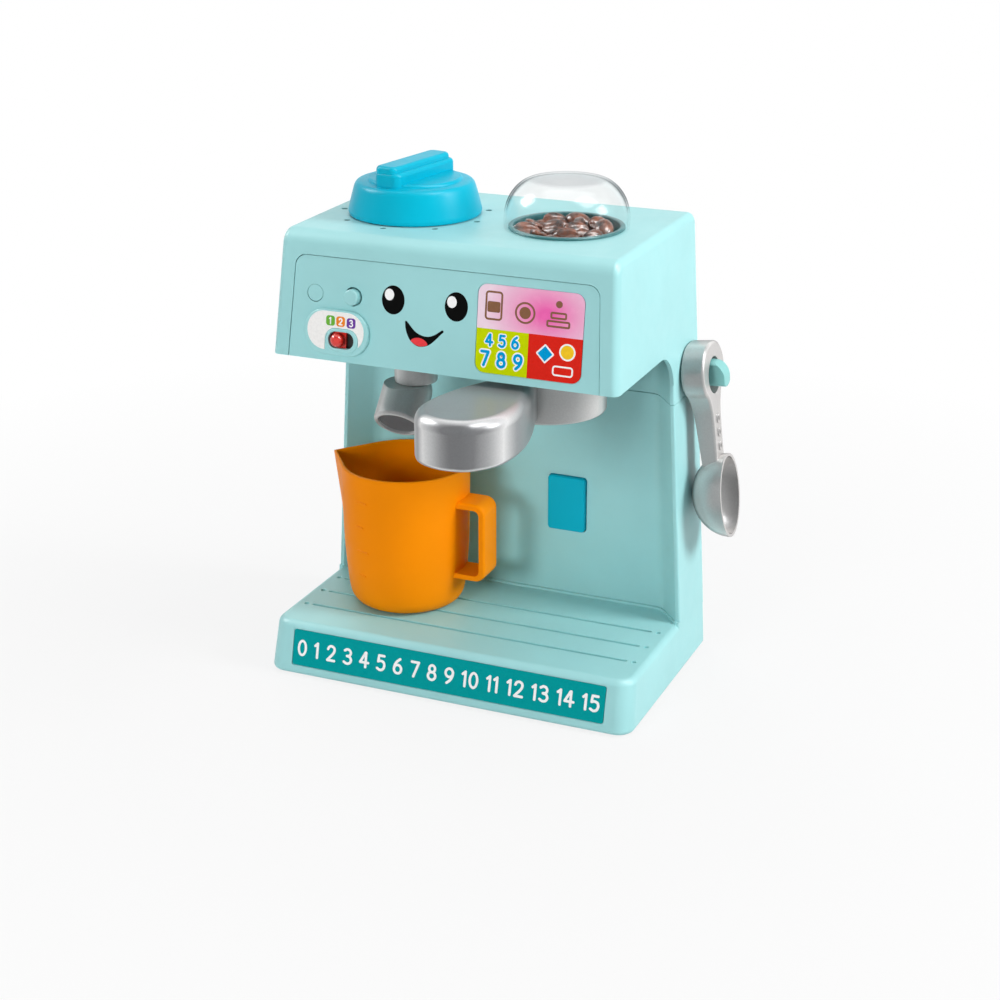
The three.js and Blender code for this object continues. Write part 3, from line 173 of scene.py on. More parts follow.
def curve_part(p0, p1, p2, p3, steps):
    """Points from p1 up to p2 on a smooth curve through four points."""
    return [0.5 * ((2 * p1) + (p2 - p0) * t + (2 * p0 - 5 * p1 + 4 * p2 - p3) * t * t
                   + (3 * p1 - p0 - 3 * p2 + p3) * t ** 3) for t in (k / steps for k in range(steps))]


def smooth_closed(points, steps=6):
    """A closed smooth curve through points."""
    n = len(points)
    made = []
    for i in range(n):
        made += curve_part(*(Vector(points[(i + k - 1) % n]) for k in range(4)), steps)
    return made


def smooth_open(points, steps=6):
    """An open smooth curve through points, with both ends kept."""
    pts = [Vector(p) for p in points]
    pts = [2 * pts[0] - pts[1]] + pts + [2 * pts[-1] - pts[-2]]
    made = []
    for i in range(1, len(pts) - 2):
        made += curve_part(*pts[i - 1:i + 3], steps)
    made.append(pts[-2])
    return made


def mirrored(half, tip, steps):
    """A smooth outline that runs up its right half, over its tip and down its left half."""
    return smooth_open(half + [(0, tip)] + [(-x, y) for x, y in reversed(half)], steps)


def area_of(points):
    return sum(a.x * b.y - b.x * a.y for a, b in zip(points, points[1:] + points[:1])) / 2


def inset(points, by):
    """The outline moved inwards by a distance, corner by corner."""
    if abs(by) < 1e-9:
        return list(points)
    way = 1 if area_of(points) > 0 else -1
    made = []
    n = len(points)
    for i, p in enumerate(points):
        a = p - points[i - 1]
        b = points[(i + 1) % n] - p
        if a.length < 1e-6:
            a = p - points[i - 2]
        if b.length < 1e-6:
            b = points[(i + 2) % n] - p
        a.normalize()
        b.normalize()
        na = Vector((-a.y, a.x)) * way
        nb = Vector((-b.y, b.x)) * way
        both = na + nb
        made.append(p + both * (by / max(0.25, 1 + na.dot(nb))))
    return made


# Meshes
def new_object(points, faces, name="piece", scaled=True):
    mesh = bpy.data.meshes.new(name)
    place = (lambda p: (Vector(p) + SHIFT) * MM) if scaled else Vector
    mesh.from_pydata([place(p) for p in points], [], faces)
    mesh.validate()
    piece = bpy.data.objects.new(name, mesh)
    bpy.context.scene.collection.objects.link(piece)
    fix = bmesh.new()
    fix.from_mesh(mesh)
    bmesh.ops.remove_doubles(fix, verts=fix.verts, dist=2e-7)
    bmesh.ops.recalc_face_normals(fix, faces=fix.faces)
    fix.to_mesh(mesh)
    fix.free()
    return piece


def loft(rings, rule=None):
    """A closed skin through rings that have the same number of points."""
    count = len(rings[0])
    points = [rule(Vector(p)) if rule else Vector(p) for r in rings for p in r]
    faces = []
    for k in range(len(rings) - 1):
        for i in range(count):
            j = (i + 1) % count
            faces.append((k * count + i, k * count + j, (k + 1) * count + j, (k + 1) * count + i))
    faces.append(tuple(reversed(range(count))))
    faces.append(tuple(range((len(rings) - 1) * count, len(rings) * count)))
    return new_object(points, faces)


def slab(shape, low, high, edge=0, edge_low=None, matrix=PLAN, rims=8, rule=None):
    """Raises an outline from low to high, with its rims rounded."""
    edge_low = edge if edge_low is None else edge_low
    angles = quarter(rims)
    levels = [(edge_low * (1 - math.sin(a)), low + edge_low * (1 - math.cos(a))) for a in angles]
    if edge_low <= 0:
        levels = [(0, low)]
    if edge > 0:
        levels += [(edge * (1 - math.cos(a)), high - edge + edge * math.sin(a)) for a in angles]
    else:
        levels.append((0, high))
    rings = [[matrix @ Vector((p.x, p.y, level)) for p in inset(shape, by)] for by, level in levels]
    return loft(rings, rule)


def tool(shape, low, high, matrix=PLAN, rule=None):
    """A slab with sharp rims, to cut with or to join on."""
    return slab(shape, low, high, matrix=matrix, rule=rule)


def bore(shape, matrix):
    """A tool that goes right through a wall that lies at its frame's zero level."""
    return tool(shape, -THROUGH, THROUGH, matrix)


def lathe(profile, steps=96, matrix=PLAN, rule=None):
    """Turns a profile of (radius, height) about Z. It starts and ends on the axis or closes on itself."""
    points, faces, starts = [], [], []
    for radius, level in profile:
        starts.append((len(points), radius))
        if radius < 1e-6:
            points.append(Vector((0, 0, level)))
        else:
            points += [Vector((p.x, p.y, level)) for p in ring(0, 0, radius, steps)]
    for (a, ra), (b, rb) in zip(starts, starts[1:]):
        for k in range(steps):
            j = (k + 1) % steps
            if ra < 1e-6 and rb < 1e-6:
                continue
            if ra < 1e-6:
                faces.append((a, b + j, b + k))
            elif rb < 1e-6:
                faces.append((a + k, a + j, b))
            else:
                faces.append((a + k, a + j, b + j, b + k))
    placed = [matrix @ p for p in points]
    if rule:
        placed = [rule(p) for p in placed]
    return new_object(placed, faces)


def settle(piece):
    """Makes what the modifiers show the piece's own mesh."""
    bpy.context.view_layer.update()
    shown = piece.evaluated_get(bpy.context.evaluated_depsgraph_get())
    mesh = bpy.data.meshes.new_from_object(shown)
    piece.modifiers.clear()
    piece.data = mesh
    return piece


def combine(piece, others, how):
    for other in others:
        step = piece.modifiers.new("step", "BOOLEAN")
        step.operation = how
        step.solver = "EXACT"
        step.object = other
        settle(piece)
        bpy.data.objects.remove(other)
    return piece


def cut(piece, *others):
    return combine(piece, others, "DIFFERENCE")


def join(piece, *others):
    return combine(piece, others, "UNION")


def merge(pieces, name):
    """Puts pieces that are drawn apart into one object."""
    whole = bmesh.new()
    for piece in pieces:
        whole.from_mesh(piece.data)
        bpy.data.objects.remove(piece)
    mesh = bpy.data.meshes.new(name)
    whole.to_mesh(mesh)
    whole.free()
    made = bpy.data.objects.new(name, mesh)
    bpy.context.scene.collection.objects.link(made)
    return made


def reshape(piece, rule):
    for vertex in piece.data.vertices:
        vertex.co = (rule(vertex.co / MM - SHIFT) + SHIFT) * MM
    return piece


def polish(piece, material, angle):
    """Shades a piece smooth in one material, with its sharp edges kept."""
    mesh = piece.data
    mesh.polygons.foreach_set("use_smooth", [True] * len(mesh.polygons))
    mesh.set_sharp_from_angle(angle=math.radians(angle))
    mesh.materials.clear()
    mesh.materials.append(material)
    piece.modifiers.new("even", "WEIGHTED_NORMAL").keep_sharp = True


def dress(piece, name, body, material, nodes=(), angle=32, bevel=0.0, segments=2):
    """Softens a piece's sharp edges, shades it and sets it on its body."""
    piece.name = name
    piece.data.name = name
    if bevel > 0:
        soften = piece.modifiers.new("soften", "BEVEL")
        soften.width = bevel * MM
        soften.segments = segments
        soften.limit_method = "ANGLE"
        soften.angle_limit = math.radians(angle)
        soften.harden_normals = True
        soften.use_clamp_overlap = True
    polish(piece, material, angle)
    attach(piece, body)
    if nodes:
        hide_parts(*nodes)


# Materials
def new_material(name, colour, roughness, metallic=0.0, coat=0.0, specular=0.5):
    made = bpy.data.materials.new(name)
    made.use_nodes = True
    shader = made.node_tree.nodes["Principled BSDF"]
    shader.inputs["Base Color"].default_value = (*colour, 1)
    shader.inputs["Roughness"].default_value = roughness
    shader.inputs["Metallic"].default_value = metallic
    shader.inputs["Coat Weight"].default_value = coat
    shader.inputs["Specular IOR Level"].default_value = specular
    return made, made.node_tree, shader


def is_socket(value):
    return isinstance(value, bpy.types.NodeSocket)


def add_node(tree, kind, inputs=None, **settings):
    """Adds a shader node. Each input takes a value or another node's output."""
    node = tree.nodes.new("ShaderNode" + kind)
    for name, value in settings.items():
        setattr(node, name, value)
    for place, value in (inputs or {}).items():
        if is_socket(value):
            tree.links.new(value, node.inputs[place])
        else:
            node.inputs[place].default_value = value
    return node


def maths(tree, operation, first, second, clamp=False):
    return add_node(tree, "Math", {0: first, 1: second}, operation=operation, use_clamp=clamp).outputs[0]


def spot_on(tree):
    """The place on the piece, in metres in the row frame."""
    return add_node(tree, "TexCoord").outputs["Object"]


def add_noise(tree, scale, detail=3.0, rough=0.5):
    inputs = {"Vector": spot_on(tree), "Scale": scale, "Detail": detail, "Roughness": rough}
    return add_node(tree, "TexNoise", inputs).outputs["Fac"]


def spread(tree, value, low, high, floor=0.3, ceiling=0.7):
    """Takes a value from floor and ceiling, which suit a noise, to low and high."""
    inputs = {"Value": value, "From Min": floor, "From Max": ceiling, "To Min": low, "To Max": high}
    return add_node(tree, "MapRange", inputs).outputs["Result"]


def between(tree, share, low, high):
    """A colour between two colours, each given as three numbers or as a node's output."""
    inputs = {"A": low if is_socket(low) else (*low, 1), "B": high if is_socket(high) else (*high, 1),
              "Factor": share}
    return add_node(tree, "Mix", inputs, data_type="RGBA").outputs["Result"]


def bump(tree, height, strength, distance):
    inputs = {"Height": height, "Strength": strength, "Distance": distance}
    return add_node(tree, "Bump", inputs).outputs["Normal"]


def ball(tree, middle, reach):
    """1 at a middle in the row frame, fading to 0 at its reach along X, Y and Z."""
    middle = (middle + SHIFT) * MM
    inputs = {"Vector": spot_on(tree), "Location": tuple(-c / r for c, r in zip(middle, reach)),
              "Scale": tuple(1 / r for r in reach)}
    centred = add_node(tree, "Mapping", inputs).outputs["Vector"]
    return add_node(tree, "TexGradient", {"Vector": centred}, gradient_type="SPHERICAL").outputs["Fac"]


def facing(tree):
    """0 where the surface is seen face on, 1 where it is seen edge on."""
    return add_node(tree, "LayerWeight", {"Blend": 0.5}).outputs["Facing"]


def linear(hex_value):
    channels = [int(hex_value[k:k + 2], 16) / 255 for k in (0, 2, 4)]
    return tuple(c / 12.92 if c <= 0.04045 else ((c + 0.055) / 1.055) ** 2.4 for c in channels)


def shade(colour, by):
    return tuple(min(1.0, c * by) for c in colour)


def finish(tree, shader, colour, sheen, relief):
    """Links colour, roughness and normal. sheen is (low, high, noise), relief (strength, depth, noise)."""
    tree.links.new(colour, shader.inputs["Base Color"])
    tree.links.new(spread(tree, add_noise(tree, *sheen[2:]), *sheen[:2]), shader.inputs["Roughness"])
    tree.links.new(bump(tree, add_noise(tree, *relief[2:]), *relief[:2]), shader.inputs["Normal"])


def plastic(name, hex_value, roughness=0.42, grain=0.35, coat=0.0, specular=0.5):
    """Moulded plastic: a fine moulded grain, faint flow clouds and an uneven sheen."""
    colour = linear(hex_value)
    made, tree, shader = new_material(name, colour, roughness, coat=coat, specular=specular)
    clouds = spread(tree, add_noise(tree, 22, 4), 0, 1)
    finish(tree, shader, between(tree, clouds, shade(colour, 0.965), shade(colour, 1.035)),
           (roughness - 0.05, roughness + 0.06, 140, 5, 0.6), (grain, 0.00003, 2600, 2))
    return made


def silver_plastic(name, metallic, painted_reflection_stops):
    """Silver paint on plastic with faint flakes, whose tone follows the slant it is seen at: a painted
    reflection with painted highlight bands.
    """
    made, tree, shader = new_material(name, linear("85888B"), 0.32, metallic=metallic)
    # The ramp paints reflections and highlights by slant: darker where seen face on, bright bands nearer
    # the edges.
    painted_reflection_ramp = add_node(tree, "ValToRGB", {"Fac": facing(tree)})
    ramp = painted_reflection_ramp.color_ramp
    while len(ramp.elements) < len(painted_reflection_stops):
        ramp.elements.new(0.5)
    for element, (place, tone) in zip(ramp.elements, painted_reflection_stops):
        element.position = place
        element.color = (*linear(tone), 1)
    flakes = spread(tree, add_noise(tree, 1100, 3), 0.965, 1.035, 0.35, 0.65)
    flakes_and_painted_reflection = add_node(tree, "VectorMath", {0: painted_reflection_ramp.outputs["Color"], "Scale": flakes}, operation="SCALE")
    finish(tree, shader, flakes_and_painted_reflection.outputs["Vector"], (0.29, 0.35, 60, 4), (0.06, 0.00002, 900, 2))
    return made


def clear_plastic(name):
    """Thin clear plastic: seen through, with a painted dark reflection at its upper edges, frosted on top,
    with a soft shine.
    """
    made = bpy.data.materials.new(name)
    made.use_nodes = True
    tree = made.node_tree
    tree.nodes.remove(tree.nodes["Principled BSDF"])
    film = between(tree, spread(tree, add_noise(tree, 40, 3), 0, 1), (0.975, 0.985, 0.985), (0.99, 1, 1))
    frost = spread(tree, ball(tree, Vector((*DOME, 264)), (0.0197, 0.0197, 0.0197)), 0, 1, 0.02, 0.09)
    frosted = between(tree, frost, film, (0.95, 0.955, 0.96))
    # A painted dark reflection where the dome's upper part is seen edge on.
    painted_rim_slant = maths(tree, "POWER", spread(tree, facing(tree), 0, 1, 0.66, 0.9), 1.5)
    height = add_node(tree, "SeparateXYZ", {0: spot_on(tree)}).outputs["Z"]
    upper = maths(tree, "MULTIPLY", spread(tree, height, 0.05, 1, 0.2475, 0.2545), painted_rim_slant)
    painted_rim_share = maths(tree, "MULTIPLY", spread(tree, height, 1, 0.3, 0.2595, 0.2632), upper)
    with_painted_rim = between(tree, painted_rim_share, frosted, (0.2, 0.24, 0.26))
    through = add_node(tree, "BsdfTransparent", {"Color": with_painted_rim})
    shine = add_node(tree, "BsdfGlossy", {
        "Color": (1, 1, 1, 1), "Roughness": spread(tree, add_noise(tree, 30, 3), 0.14, 0.2),
        "Normal": bump(tree, add_noise(tree, 60, 2), 0.1, 0.0001)})
    glance = add_node(tree, "Fresnel", {"IOR": 1.2}).outputs[0]
    share = maths(tree, "MINIMUM", glance, 0.06)
    mixed = add_node(tree, "MixShader", {"Fac": share, 1: through.outputs[0], 2: shine.outputs[0]})
    tree.links.new(mixed.outputs[0], tree.nodes["Material Output"].inputs["Surface"])
    return made


def print_ink(name, hex_value, roughness=0.3):
    """Printed ink: nearly even colour with the faint mottling of a print."""
    colour = linear(hex_value)
    made, tree, shader = new_material(name, colour, roughness, specular=0.05)
    mottle = spread(tree, add_noise(tree, 900, 3), 0, 1)
    finish(tree, shader, between(tree, mottle, shade(colour, 0.96), shade(colour, 1.04)),
           (roughness - 0.04, roughness + 0.05, 260, 3), (0.12, 0.00002, 1800, 2))
    return made


def screen_ink(name):
    """The screen's pink field: a bright middle that fades to pale corners."""
    made, tree, shader = new_material(name, linear("EE8CC0"), 0.3, specular=0.2)
    glow = spread(tree, ball(tree, PANEL @ Vector((54, 35, 0)), (0.034, 0.034, 0.024)), 0, 1, 0.05, 0.9)
    finish(tree, shader, between(tree, glow, linear("F6DCEB"), linear("F468B4")), (0.21, 0.3, 260, 3),
           (0.1, 0.00002, 1800, 2))
    return made


def roasted(name):
    """Beans: dark streaks over a reddish brown, with an oily gloss."""
    made, tree, shader = new_material(name, linear("4A2517"), 0.28, coat=0.35)
    streaks = spread(tree, add_noise(tree, 170, 6, 0.65), 0, 1, 0.38, 0.62)
    finish(tree, shader, between(tree, streaks, linear("1C0903"), linear("8C4A2A")), (0.22, 0.42, 700, 4),
           (0.35, 0.0001, 900, 5, 0.6))
    return made


def steel_metal(name):
    """Zinc-plated steel with a brushed look."""
    colour = linear("9C9EA1")
    made, tree, shader = new_material(name, colour, 0.32, metallic=1.0)
    brushed = spread(tree, add_noise(tree, 900, 6, 0.7), 0, 1)
    finish(tree, shader, between(tree, brushed, shade(colour, 0.88), shade(colour, 1.1)),
           (0.25, 0.42, 300, 4), (0.2, 0.00003, 1500, 3))
    return made


teal = plastic("teal_plastic", "A0D8DA", 0.4, specular=0.4)
# A dark teal for the discs in the dial's spot recesses, painting the shade in them.
recess_painted_shade = plastic("recess_painted_shade", "2B6A6C", 0.55)
# A darker copy of the body teal, painting the shade on the peg's front.
peg_teal_painted_shade = plastic("peg_teal_painted_shade", "82C4C2", 0.42)
# A darker teal than the body, painting the shade inside the bean well.
well_teal_painted_shade = plastic("well_teal_painted_shade", "2E6C6F", 0.35)
blue = plastic("blue_plastic", "00B2CE", 0.33, 0.2, specular=0.12)
orange = plastic("orange_plastic", "F88D00", 0.45, 0.3, specular=0.07)
red = plastic("red_plastic", "D9261B", 0.25, 0.15, coat=0.4)
black = plastic("black_plastic", "1C1C1D", 0.45)
rubber = plastic("foot_rubber", "3B3B3C", 0.7, 0.8)
board = plastic("board_green", "1F6B3C", 0.4)
# Three copies of one silver paint, each with its own painted reflection bands; the brighter and mid copies
# paint lighter light on the basket, scoop and wand.
silver = silver_plastic("silver_plastic", 0.18, (
    (0.0, "67696B"), (0.1, "6E6F71"), (0.27, "B2B3B4"), (0.42, "D8D8D8"), (0.62, "909193"), (0.8, "8E8F90"),
    (1.0, "AAABAC")))
silver_brighter_painted_light = silver_plastic("silver_brighter_painted_light", 0.4, (
    (0.0, "9C9C9C"), (0.15, "A0A0A0"), (0.35, "BDBCBB"), (0.6, "DAD7D5"), (0.8, "979594"), (1.0, "6E6C6B")))
silver_mid_painted_light = silver_plastic("silver_mid_painted_light", 0.3, (
    (0.0, "868787"), (0.12, "8B8B8B"), (0.3, "AEADAD"), (0.5, "C3C2C1"), (0.7, "A4A3A2"), (1.0, "929191")))
# A dark grey that paints the shade inside the spout's hollow end.
mouth_painted_shade = plastic("mouth_painted_shade", "5B5E60", 0.4)
steel = steel_metal("screw_steel")
cell_can = plastic("cell_can", "2A2C30", 0.3, 0.1, coat=0.3)
clear = clear_plastic("clear_plastic")
bean_brown = roasted("bean_brown")
strip_teal = print_ink("strip_teal", "009C9F")
label_white = print_ink("label_white", "F7F6F4")
ink = {name: print_ink("ink_" + name, tone) for name, tone in (
    ("white", "FFFFFF"), ("red", "E0281C"), ("tongue", "F0444A"), ("blue", "009FDC"),
    ("yellow", "F7C928"), ("lime", "C8DA00"), ("brown", "8A6248"), ("green", "6DB33F"),
    ("orange", "EF8A2D"), ("purple", "6F3FA0"))}
ink["black"] = print_ink("ink_black", "030303", 0.5)
screen_pink = screen_ink("screen_pink")


# Outlines shared by the shells
def column_outline(grow=0):
    front = FLANGE_FRONT - grow
    wall_front = BACK_WALL - grow
    return outline([
        (-HALF_FLOOR, front, 1), (-HALF_FLOOR + WALL, front), (-HALF_FLOOR + COVE, wall_front, 10),
        (HALF_FLOOR - COVE, wall_front, 10), (HALF_FLOOR - WALL, front), (HALF_FLOOR, front, 1),
        (HALF_FLOOR, REAR, 4), (-HALF_FLOOR, REAR, 4)], 10)


def column_hollow():
    side = HALF_FLOOR - WALL
    front = BACK_WALL + WALL
    return outline([(-side, front + COVE / 2), (-side + COVE / 2, front), (side - COVE / 2, front),
                    (side, front + COVE / 2), (side, REAR - WALL), (-side, REAR - WALL)])


def panel_outline(grow, low):
    """The front panel's outline, grown all round and cut off at a height up the panel."""
    low_half = PANEL_LOW_HALF + grow - low * (PANEL_LOW_HALF - PANEL_HIGH_HALF) / PANEL_TALL
    high_half = PANEL_HIGH_HALF + grow
    high = PANEL_TALL + grow
    return outline([(-low_half, low), (low_half, low), (high_half, high, 6), (-high_half, high, 6)], 10)


def make_base():
    # A hair narrower than the solid, so that no rounded point stands outside its box
    half = HALF_FLOOR - 0.03
    body = outline([(-half, -FRONT_FLOOR, 9), (half, -FRONT_FLOOR, 9),
                    (half, REAR, 4.8), (-half, REAR, 4.8)], 12)
    side = HALF_FLOOR - BASE_WALL
    front = -FRONT_FLOOR + BASE_WALL
    rear = REAR - BASE_WALL
    hollow = outline([(-side, front, 5.4), (side, front, 5.4), (side, rear, 1.2), (-side, rear, 1.2)], 8)
    base = slab(body, BASE_LOW, TRAY_TOP, 3.4, 2.6, rims=8, rule=lean_front)
    inner = tool(hollow, -20, TRAY_TOP - WALL, rule=lean_front)
    saddle = tool(column_outline(1.5), TRAY_TOP - 3.2, SADDLE_TOP)
    join(base, saddle)
    cut(base, inner)
    reshape(base, lean_sides)
    cutters = []
    for row in range(3):
        y = -32.7 + row * 19
        cutters.append(tool(block(-90, 90, y - 1, y + 1, 0.9, 4), TRAY_TOP - 1, TRAY_TOP + 4))
        for x in (-93.5, 93.5):
            cutters.append(tool(ring(x, y, 1.4, 24), TRAY_TOP - 1, TRAY_TOP + 4))
    cutters.append(tool(block(-88.1, 88.1, 5.9, 25.7, 1), -0.6, 20, STRIP))
    cut(base, *cutters)
    dress(base, "base_body", "machine", teal, ["base_shell"], bevel=0.35)
    strip = slab(block(-87.8, 87.8, 6.2, 25.4, 1.2), -0.45, -0.05, 0.12, 0, STRIP, 3)
    dress(strip, "strip_print", "machine", strip_teal, ["strip_label"])


def rear_opening():
    side = HALF_FLOOR - 4.7
    return tool(block(-side, side, 60.45, 2 * REAR), 40.7, 231.3)


def make_column():
    low = SADDLE_TOP - 0.3
    column = slab(column_outline(), low, SEAM - GAP / 2)
    cut(column, tool(column_hollow(), low + WALL, SEAM + 20), rear_opening())
    reshape(column, lean_sides)
    cut(column, tool(block(19.6, 41.4, 65.7, 96.9, 2), -BACK_WALL - 5, -BACK_WALL + 5, FRONT_VIEW))
    dress(column, "column_body", "machine", teal, ["column_shell"], bevel=0.3)


def sill_outline():
    front = -HEAD_FRONT_LOW + HEAD_EDGE
    curve_front = FLANGE_FRONT - GUSSET
    curve_low = HEAD_LOW - GUSSET
    points = [Vector((front, HEAD_LOW))]
    points += [Vector((curve_front + GUSSET * math.cos(a), curve_low + GUSSET * math.sin(a)))
               for a in reversed(quarter(16))]
    rear = FLANGE_FRONT + WALL
    high = HEAD_LOW + HEAD_EDGE
    return points + outline([(rear, curve_low), (rear, high), (front + head_lean * HEAD_EDGE, high)])


def dial_spots(radius, low, high):
    """The nine round spots in a circle round the dial."""
    angles = [-math.pi / 2 + k * 2 * math.pi / 9 for k in range(9)]
    places = [(DIAL[0] + DIAL_SPOTS * math.cos(a), DIAL[1] + DIAL_SPOTS * math.sin(a)) for a in angles]
    return [tool(ring(*place, radius, 24), MACHINE_TALL + low, MACHINE_TALL + high) for place in places]


def make_head():
    side_shape = outline([(-HEAD_FRONT_LOW, HEAD_LOW), (REAR, HEAD_LOW), (REAR, MACHINE_TALL, 6),
                          (-HEAD_FRONT_HIGH, MACHINE_TALL, 8)], 12)
    inner = HALF_FLOOR - WALL
    head = slab(side_shape, -HALF_FLOOR, HALF_FLOOR, HEAD_EDGE, matrix=SIDE_VIEW, rims=10)
    below = 20
    low, high = HEAD_LOW - below, MACHINE_TALL - WALL
    hollow_shape = outline([(-HEAD_FRONT_LOW + WALL - head_lean * below, low), (REAR - WALL, low),
                            (REAR - WALL, high),
                            (-HEAD_FRONT_HIGH + WALL - head_lean * WALL, high, 5.6)], 6)
    neck = tool(column_outline(), SEAM + GAP / 2, HEAD_LOW + HEAD_EDGE)
    cut(neck, tool(column_hollow(), 0, MACHINE_TALL))
    cut(head, tool(hollow_shape, -inner, inner, SIDE_VIEW))
    join(head, neck, tool(sill_outline(), -HALF_FLOOR, -inner, SIDE_VIEW),
         tool(sill_outline(), inner, HALF_FLOOR, SIDE_VIEW))
    cut(head, rear_opening())
    for side in (-1, 1):
        near, far = side * (inner - 6), side * HALF_FLOOR
        front = -HEAD_FRONT_LOW
        back = front + 16
        corner = outline([(near, front), (far, front, HEAD_EDGE), (far, back), (near, back)], 10)
        fill = tool(corner, HEAD_LOW, HEAD_LOW + 5,
                    rule=lambda p: Vector((p.x, p.y + head_lean * (p.z - HEAD_LOW), p.z)))
        cut(fill, tool(hollow_shape, -inner, inner, SIDE_VIEW))
        join(head, fill)
    reshape(head, lean_sides)
    cut(head, bore(panel_outline(GAP, -20), PANEL), tool(ring(*DIAL, 7.3, 40), 220, 260),
        tool(ring(*DOME, 27.72, 64), 220, 260), bore(ring(0, PEG_UP, 4.15, 32), RIGHT_SIDE),
        *dial_spots(1.75, -0.7, 5))
    dress(head, "head_body", "machine", teal, ["head_shell"], bevel=0.3)
    # Dark discs at the bottom of the spots' recesses paint the shade in them.
    spot_shade_discs = merge(dial_spots(1.7, -0.9, -0.3), "dial_spots")
    dress(spot_shade_discs, "dial_spots", "machine", recess_painted_shade)


def make_panel():
    panel = slab(panel_outline(0, 0), -4.15, PANEL_FACE, matrix=PANEL)
    join(panel, tool(panel_outline(2.5, 0.15), -4.15, -2.55, PANEL))
    cut(panel, bore(ring(-68.6, 32.8, 4.4, 64), PANEL),
        bore(ring(-47.7, 33, 4.75, 64), PANEL),
        bore(block(-64, -42.8, 5.1, 16.7), PANEL),
        tool(block(18.3, 73.1, 3.6, 47, 4.9), -0.85, 20, PANEL))
    dress(panel, "panel_face", "machine", teal, ["front_panel"], bevel=0.35)
    for name, x, radius, out, edge, body in (("flush", -68.6, 4.18, -0.25, 0.3, "flush_button"),
                                             ("proud", -47.7, 3.95, 3.2, 0.9, "proud_button")):
        button = slab(ring(x, 32.9, radius, 64), -4.9, out, edge, 0, PANEL, 6)
        join(button, tool(ring(x, 32.8, 6.2, 48), -5.5, -4.3, PANEL))
        join(button, tool(ring(x, 32.8, 3, 32), -8.6, -4.5, PANEL))
        dress(button, "button_" + name + "_cap", body, teal, ["button_" + name], bevel=0.15)
    stage = slab(block(-73.3, -38, 3.3, 25.9, 11, 16), -0.1, 2, 0.9, 0, PANEL, 6)
    slot_shape = block(-59.3, -45.4, 7.1, 15.4, 4, 12)
    collar_shape = block(-61.1, -43.2, 5.2, 16.9, 5.6, 12)
    join(stage, slab(collar_shape, 1, 2.75, 0.6, 0, PANEL, 4))
    cut(stage, bore(slot_shape, PANEL))
    dress(stage, "stage_frame", "machine", teal, ["stage_plate"], bevel=0.2)
    label = slab(block(-71.1, -40.2, 5.9, 25.1, 9.3, 14), 2.05, 2.4, 0.08, 0, PANEL, 2)
    cut(label, bore(block(-61.3, -43, 0, 17.1, 5.8, 12), PANEL))
    dress(label, "stage_print", "machine", label_white, ["stage_label"])
    slider = slab(ring(-54.6, 11.1, 3.4, 48), -1.75, 5.4, 3.1, 0, PANEL, 10)
    join(slider, tool(block(-58.4, -50.8, 6.4, 16, 1), -1.65, -0.25, PANEL))
    dress(slider, "slider_knob", "slider", red, ["stage_slider"], bevel=0.15)


def make_dial():
    skirt = smooth_open([(33.5, 240.5), (33.9, 242.2), (33.2, 245.4), (32.3, 249), (31.3, 252.6),
                         (30.5, 255), (29.6, 256.3), (28.2, 257), (24.7, 257.4)], 5)
    top = smooth_open([(24.2, 257.55), (23.9, 258.2), (23.2, 258.75), (21.5, 258.95), (10, 259),
                       (0, 259)], 4)
    inside = [(0, 237.3), (7, 237.3), (7, 254.5), (27.5, 254.5), (31, 240.5)]
    knob = lathe(inside + skirt + top, 128, standing(DIAL))
    turn = standing(DIAL) @ Matrix.Rotation(-math.radians(9.3), 4, "Z")
    grip = slab(block(-7.1, 5.7, -25.6, 24.9, 3.6, 10), 255.8, 267.6, 2.1, 0, turn, 10)
    rib = slab(block(-7.6, 7.8, -26.1, 26.4, 4.4, 10), 255.4, 264.6, 2.1, 0, turn, 10)
    join(knob, rib, grip)
    cut(knob, tool(ring(*DIAL, 1.45, 20), 220, 251.5))
    dress(knob, "dial_cap", "dial", blue, ["dial_knob"], angle=38, bevel=0.3, segments=3)


def make_dome():
    outer = smooth_open([(30.9, 240.2), (31.2, 244.8), (30.7, 249.4), (29, 254.6), (26.2, 258.9),
                         (22.9, 262), (20.4, 263.4), (18.6, 264), (16.6, 264.2), (12, 264.15),
                         (6, 264.1), (0, 264.1)])
    inner = []
    for i, p in enumerate(outer[:-1]):
        along = (outer[i + 1] - outer[max(i - 1, 0)]).normalized()
        inner.append(p + Vector((-along.y, along.x)) * DOME_WALL)
    inner[0].y = outer[0].y
    inner.append(Vector((0, outer[-1].y - DOME_WALL)))
    profile = [(max(0, p.x), p.y) for p in list(reversed(inner)) + outer]
    dome = lathe(profile, 128, standing(DOME))
    dress(dome, "dome_cap", "machine", clear, ["dome"], angle=60)


def bean_mesh(centre, turn, tip, roll, size):
    """One bean: a rounded half with a wavy crease along its flat side."""
    points, faces = [], []
    around, along = 28, 18
    for i in range(along + 1):
        v = math.pi * i / along
        for j in range(around):
            u = 2 * math.pi * j / around
            x = 7 * math.cos(v)
            y = 5.2 * math.sin(v) * math.cos(u)
            z = 4.6 * math.sin(v) * math.sin(u)
            if z > 0:
                z *= 0.42
                wave = 0.7 * math.sin(x / 7 * math.pi)
                z -= 1.5 * math.exp(-((y - wave) / 0.75) ** 2) * math.sin(v) ** 0.5
            points.append(Vector((x, y, z)) * size)
    for i in range(along):
        for j in range(around):
            k = (j + 1) % around
            faces.append((i * around + j, i * around + k, (i + 1) * around + k, (i + 1) * around + j))
    spin = Quaternion(Z, turn) @ Quaternion(Y, tip) @ Quaternion(X, roll)
    return [spin @ p + Vector(centre) for p in points], faces


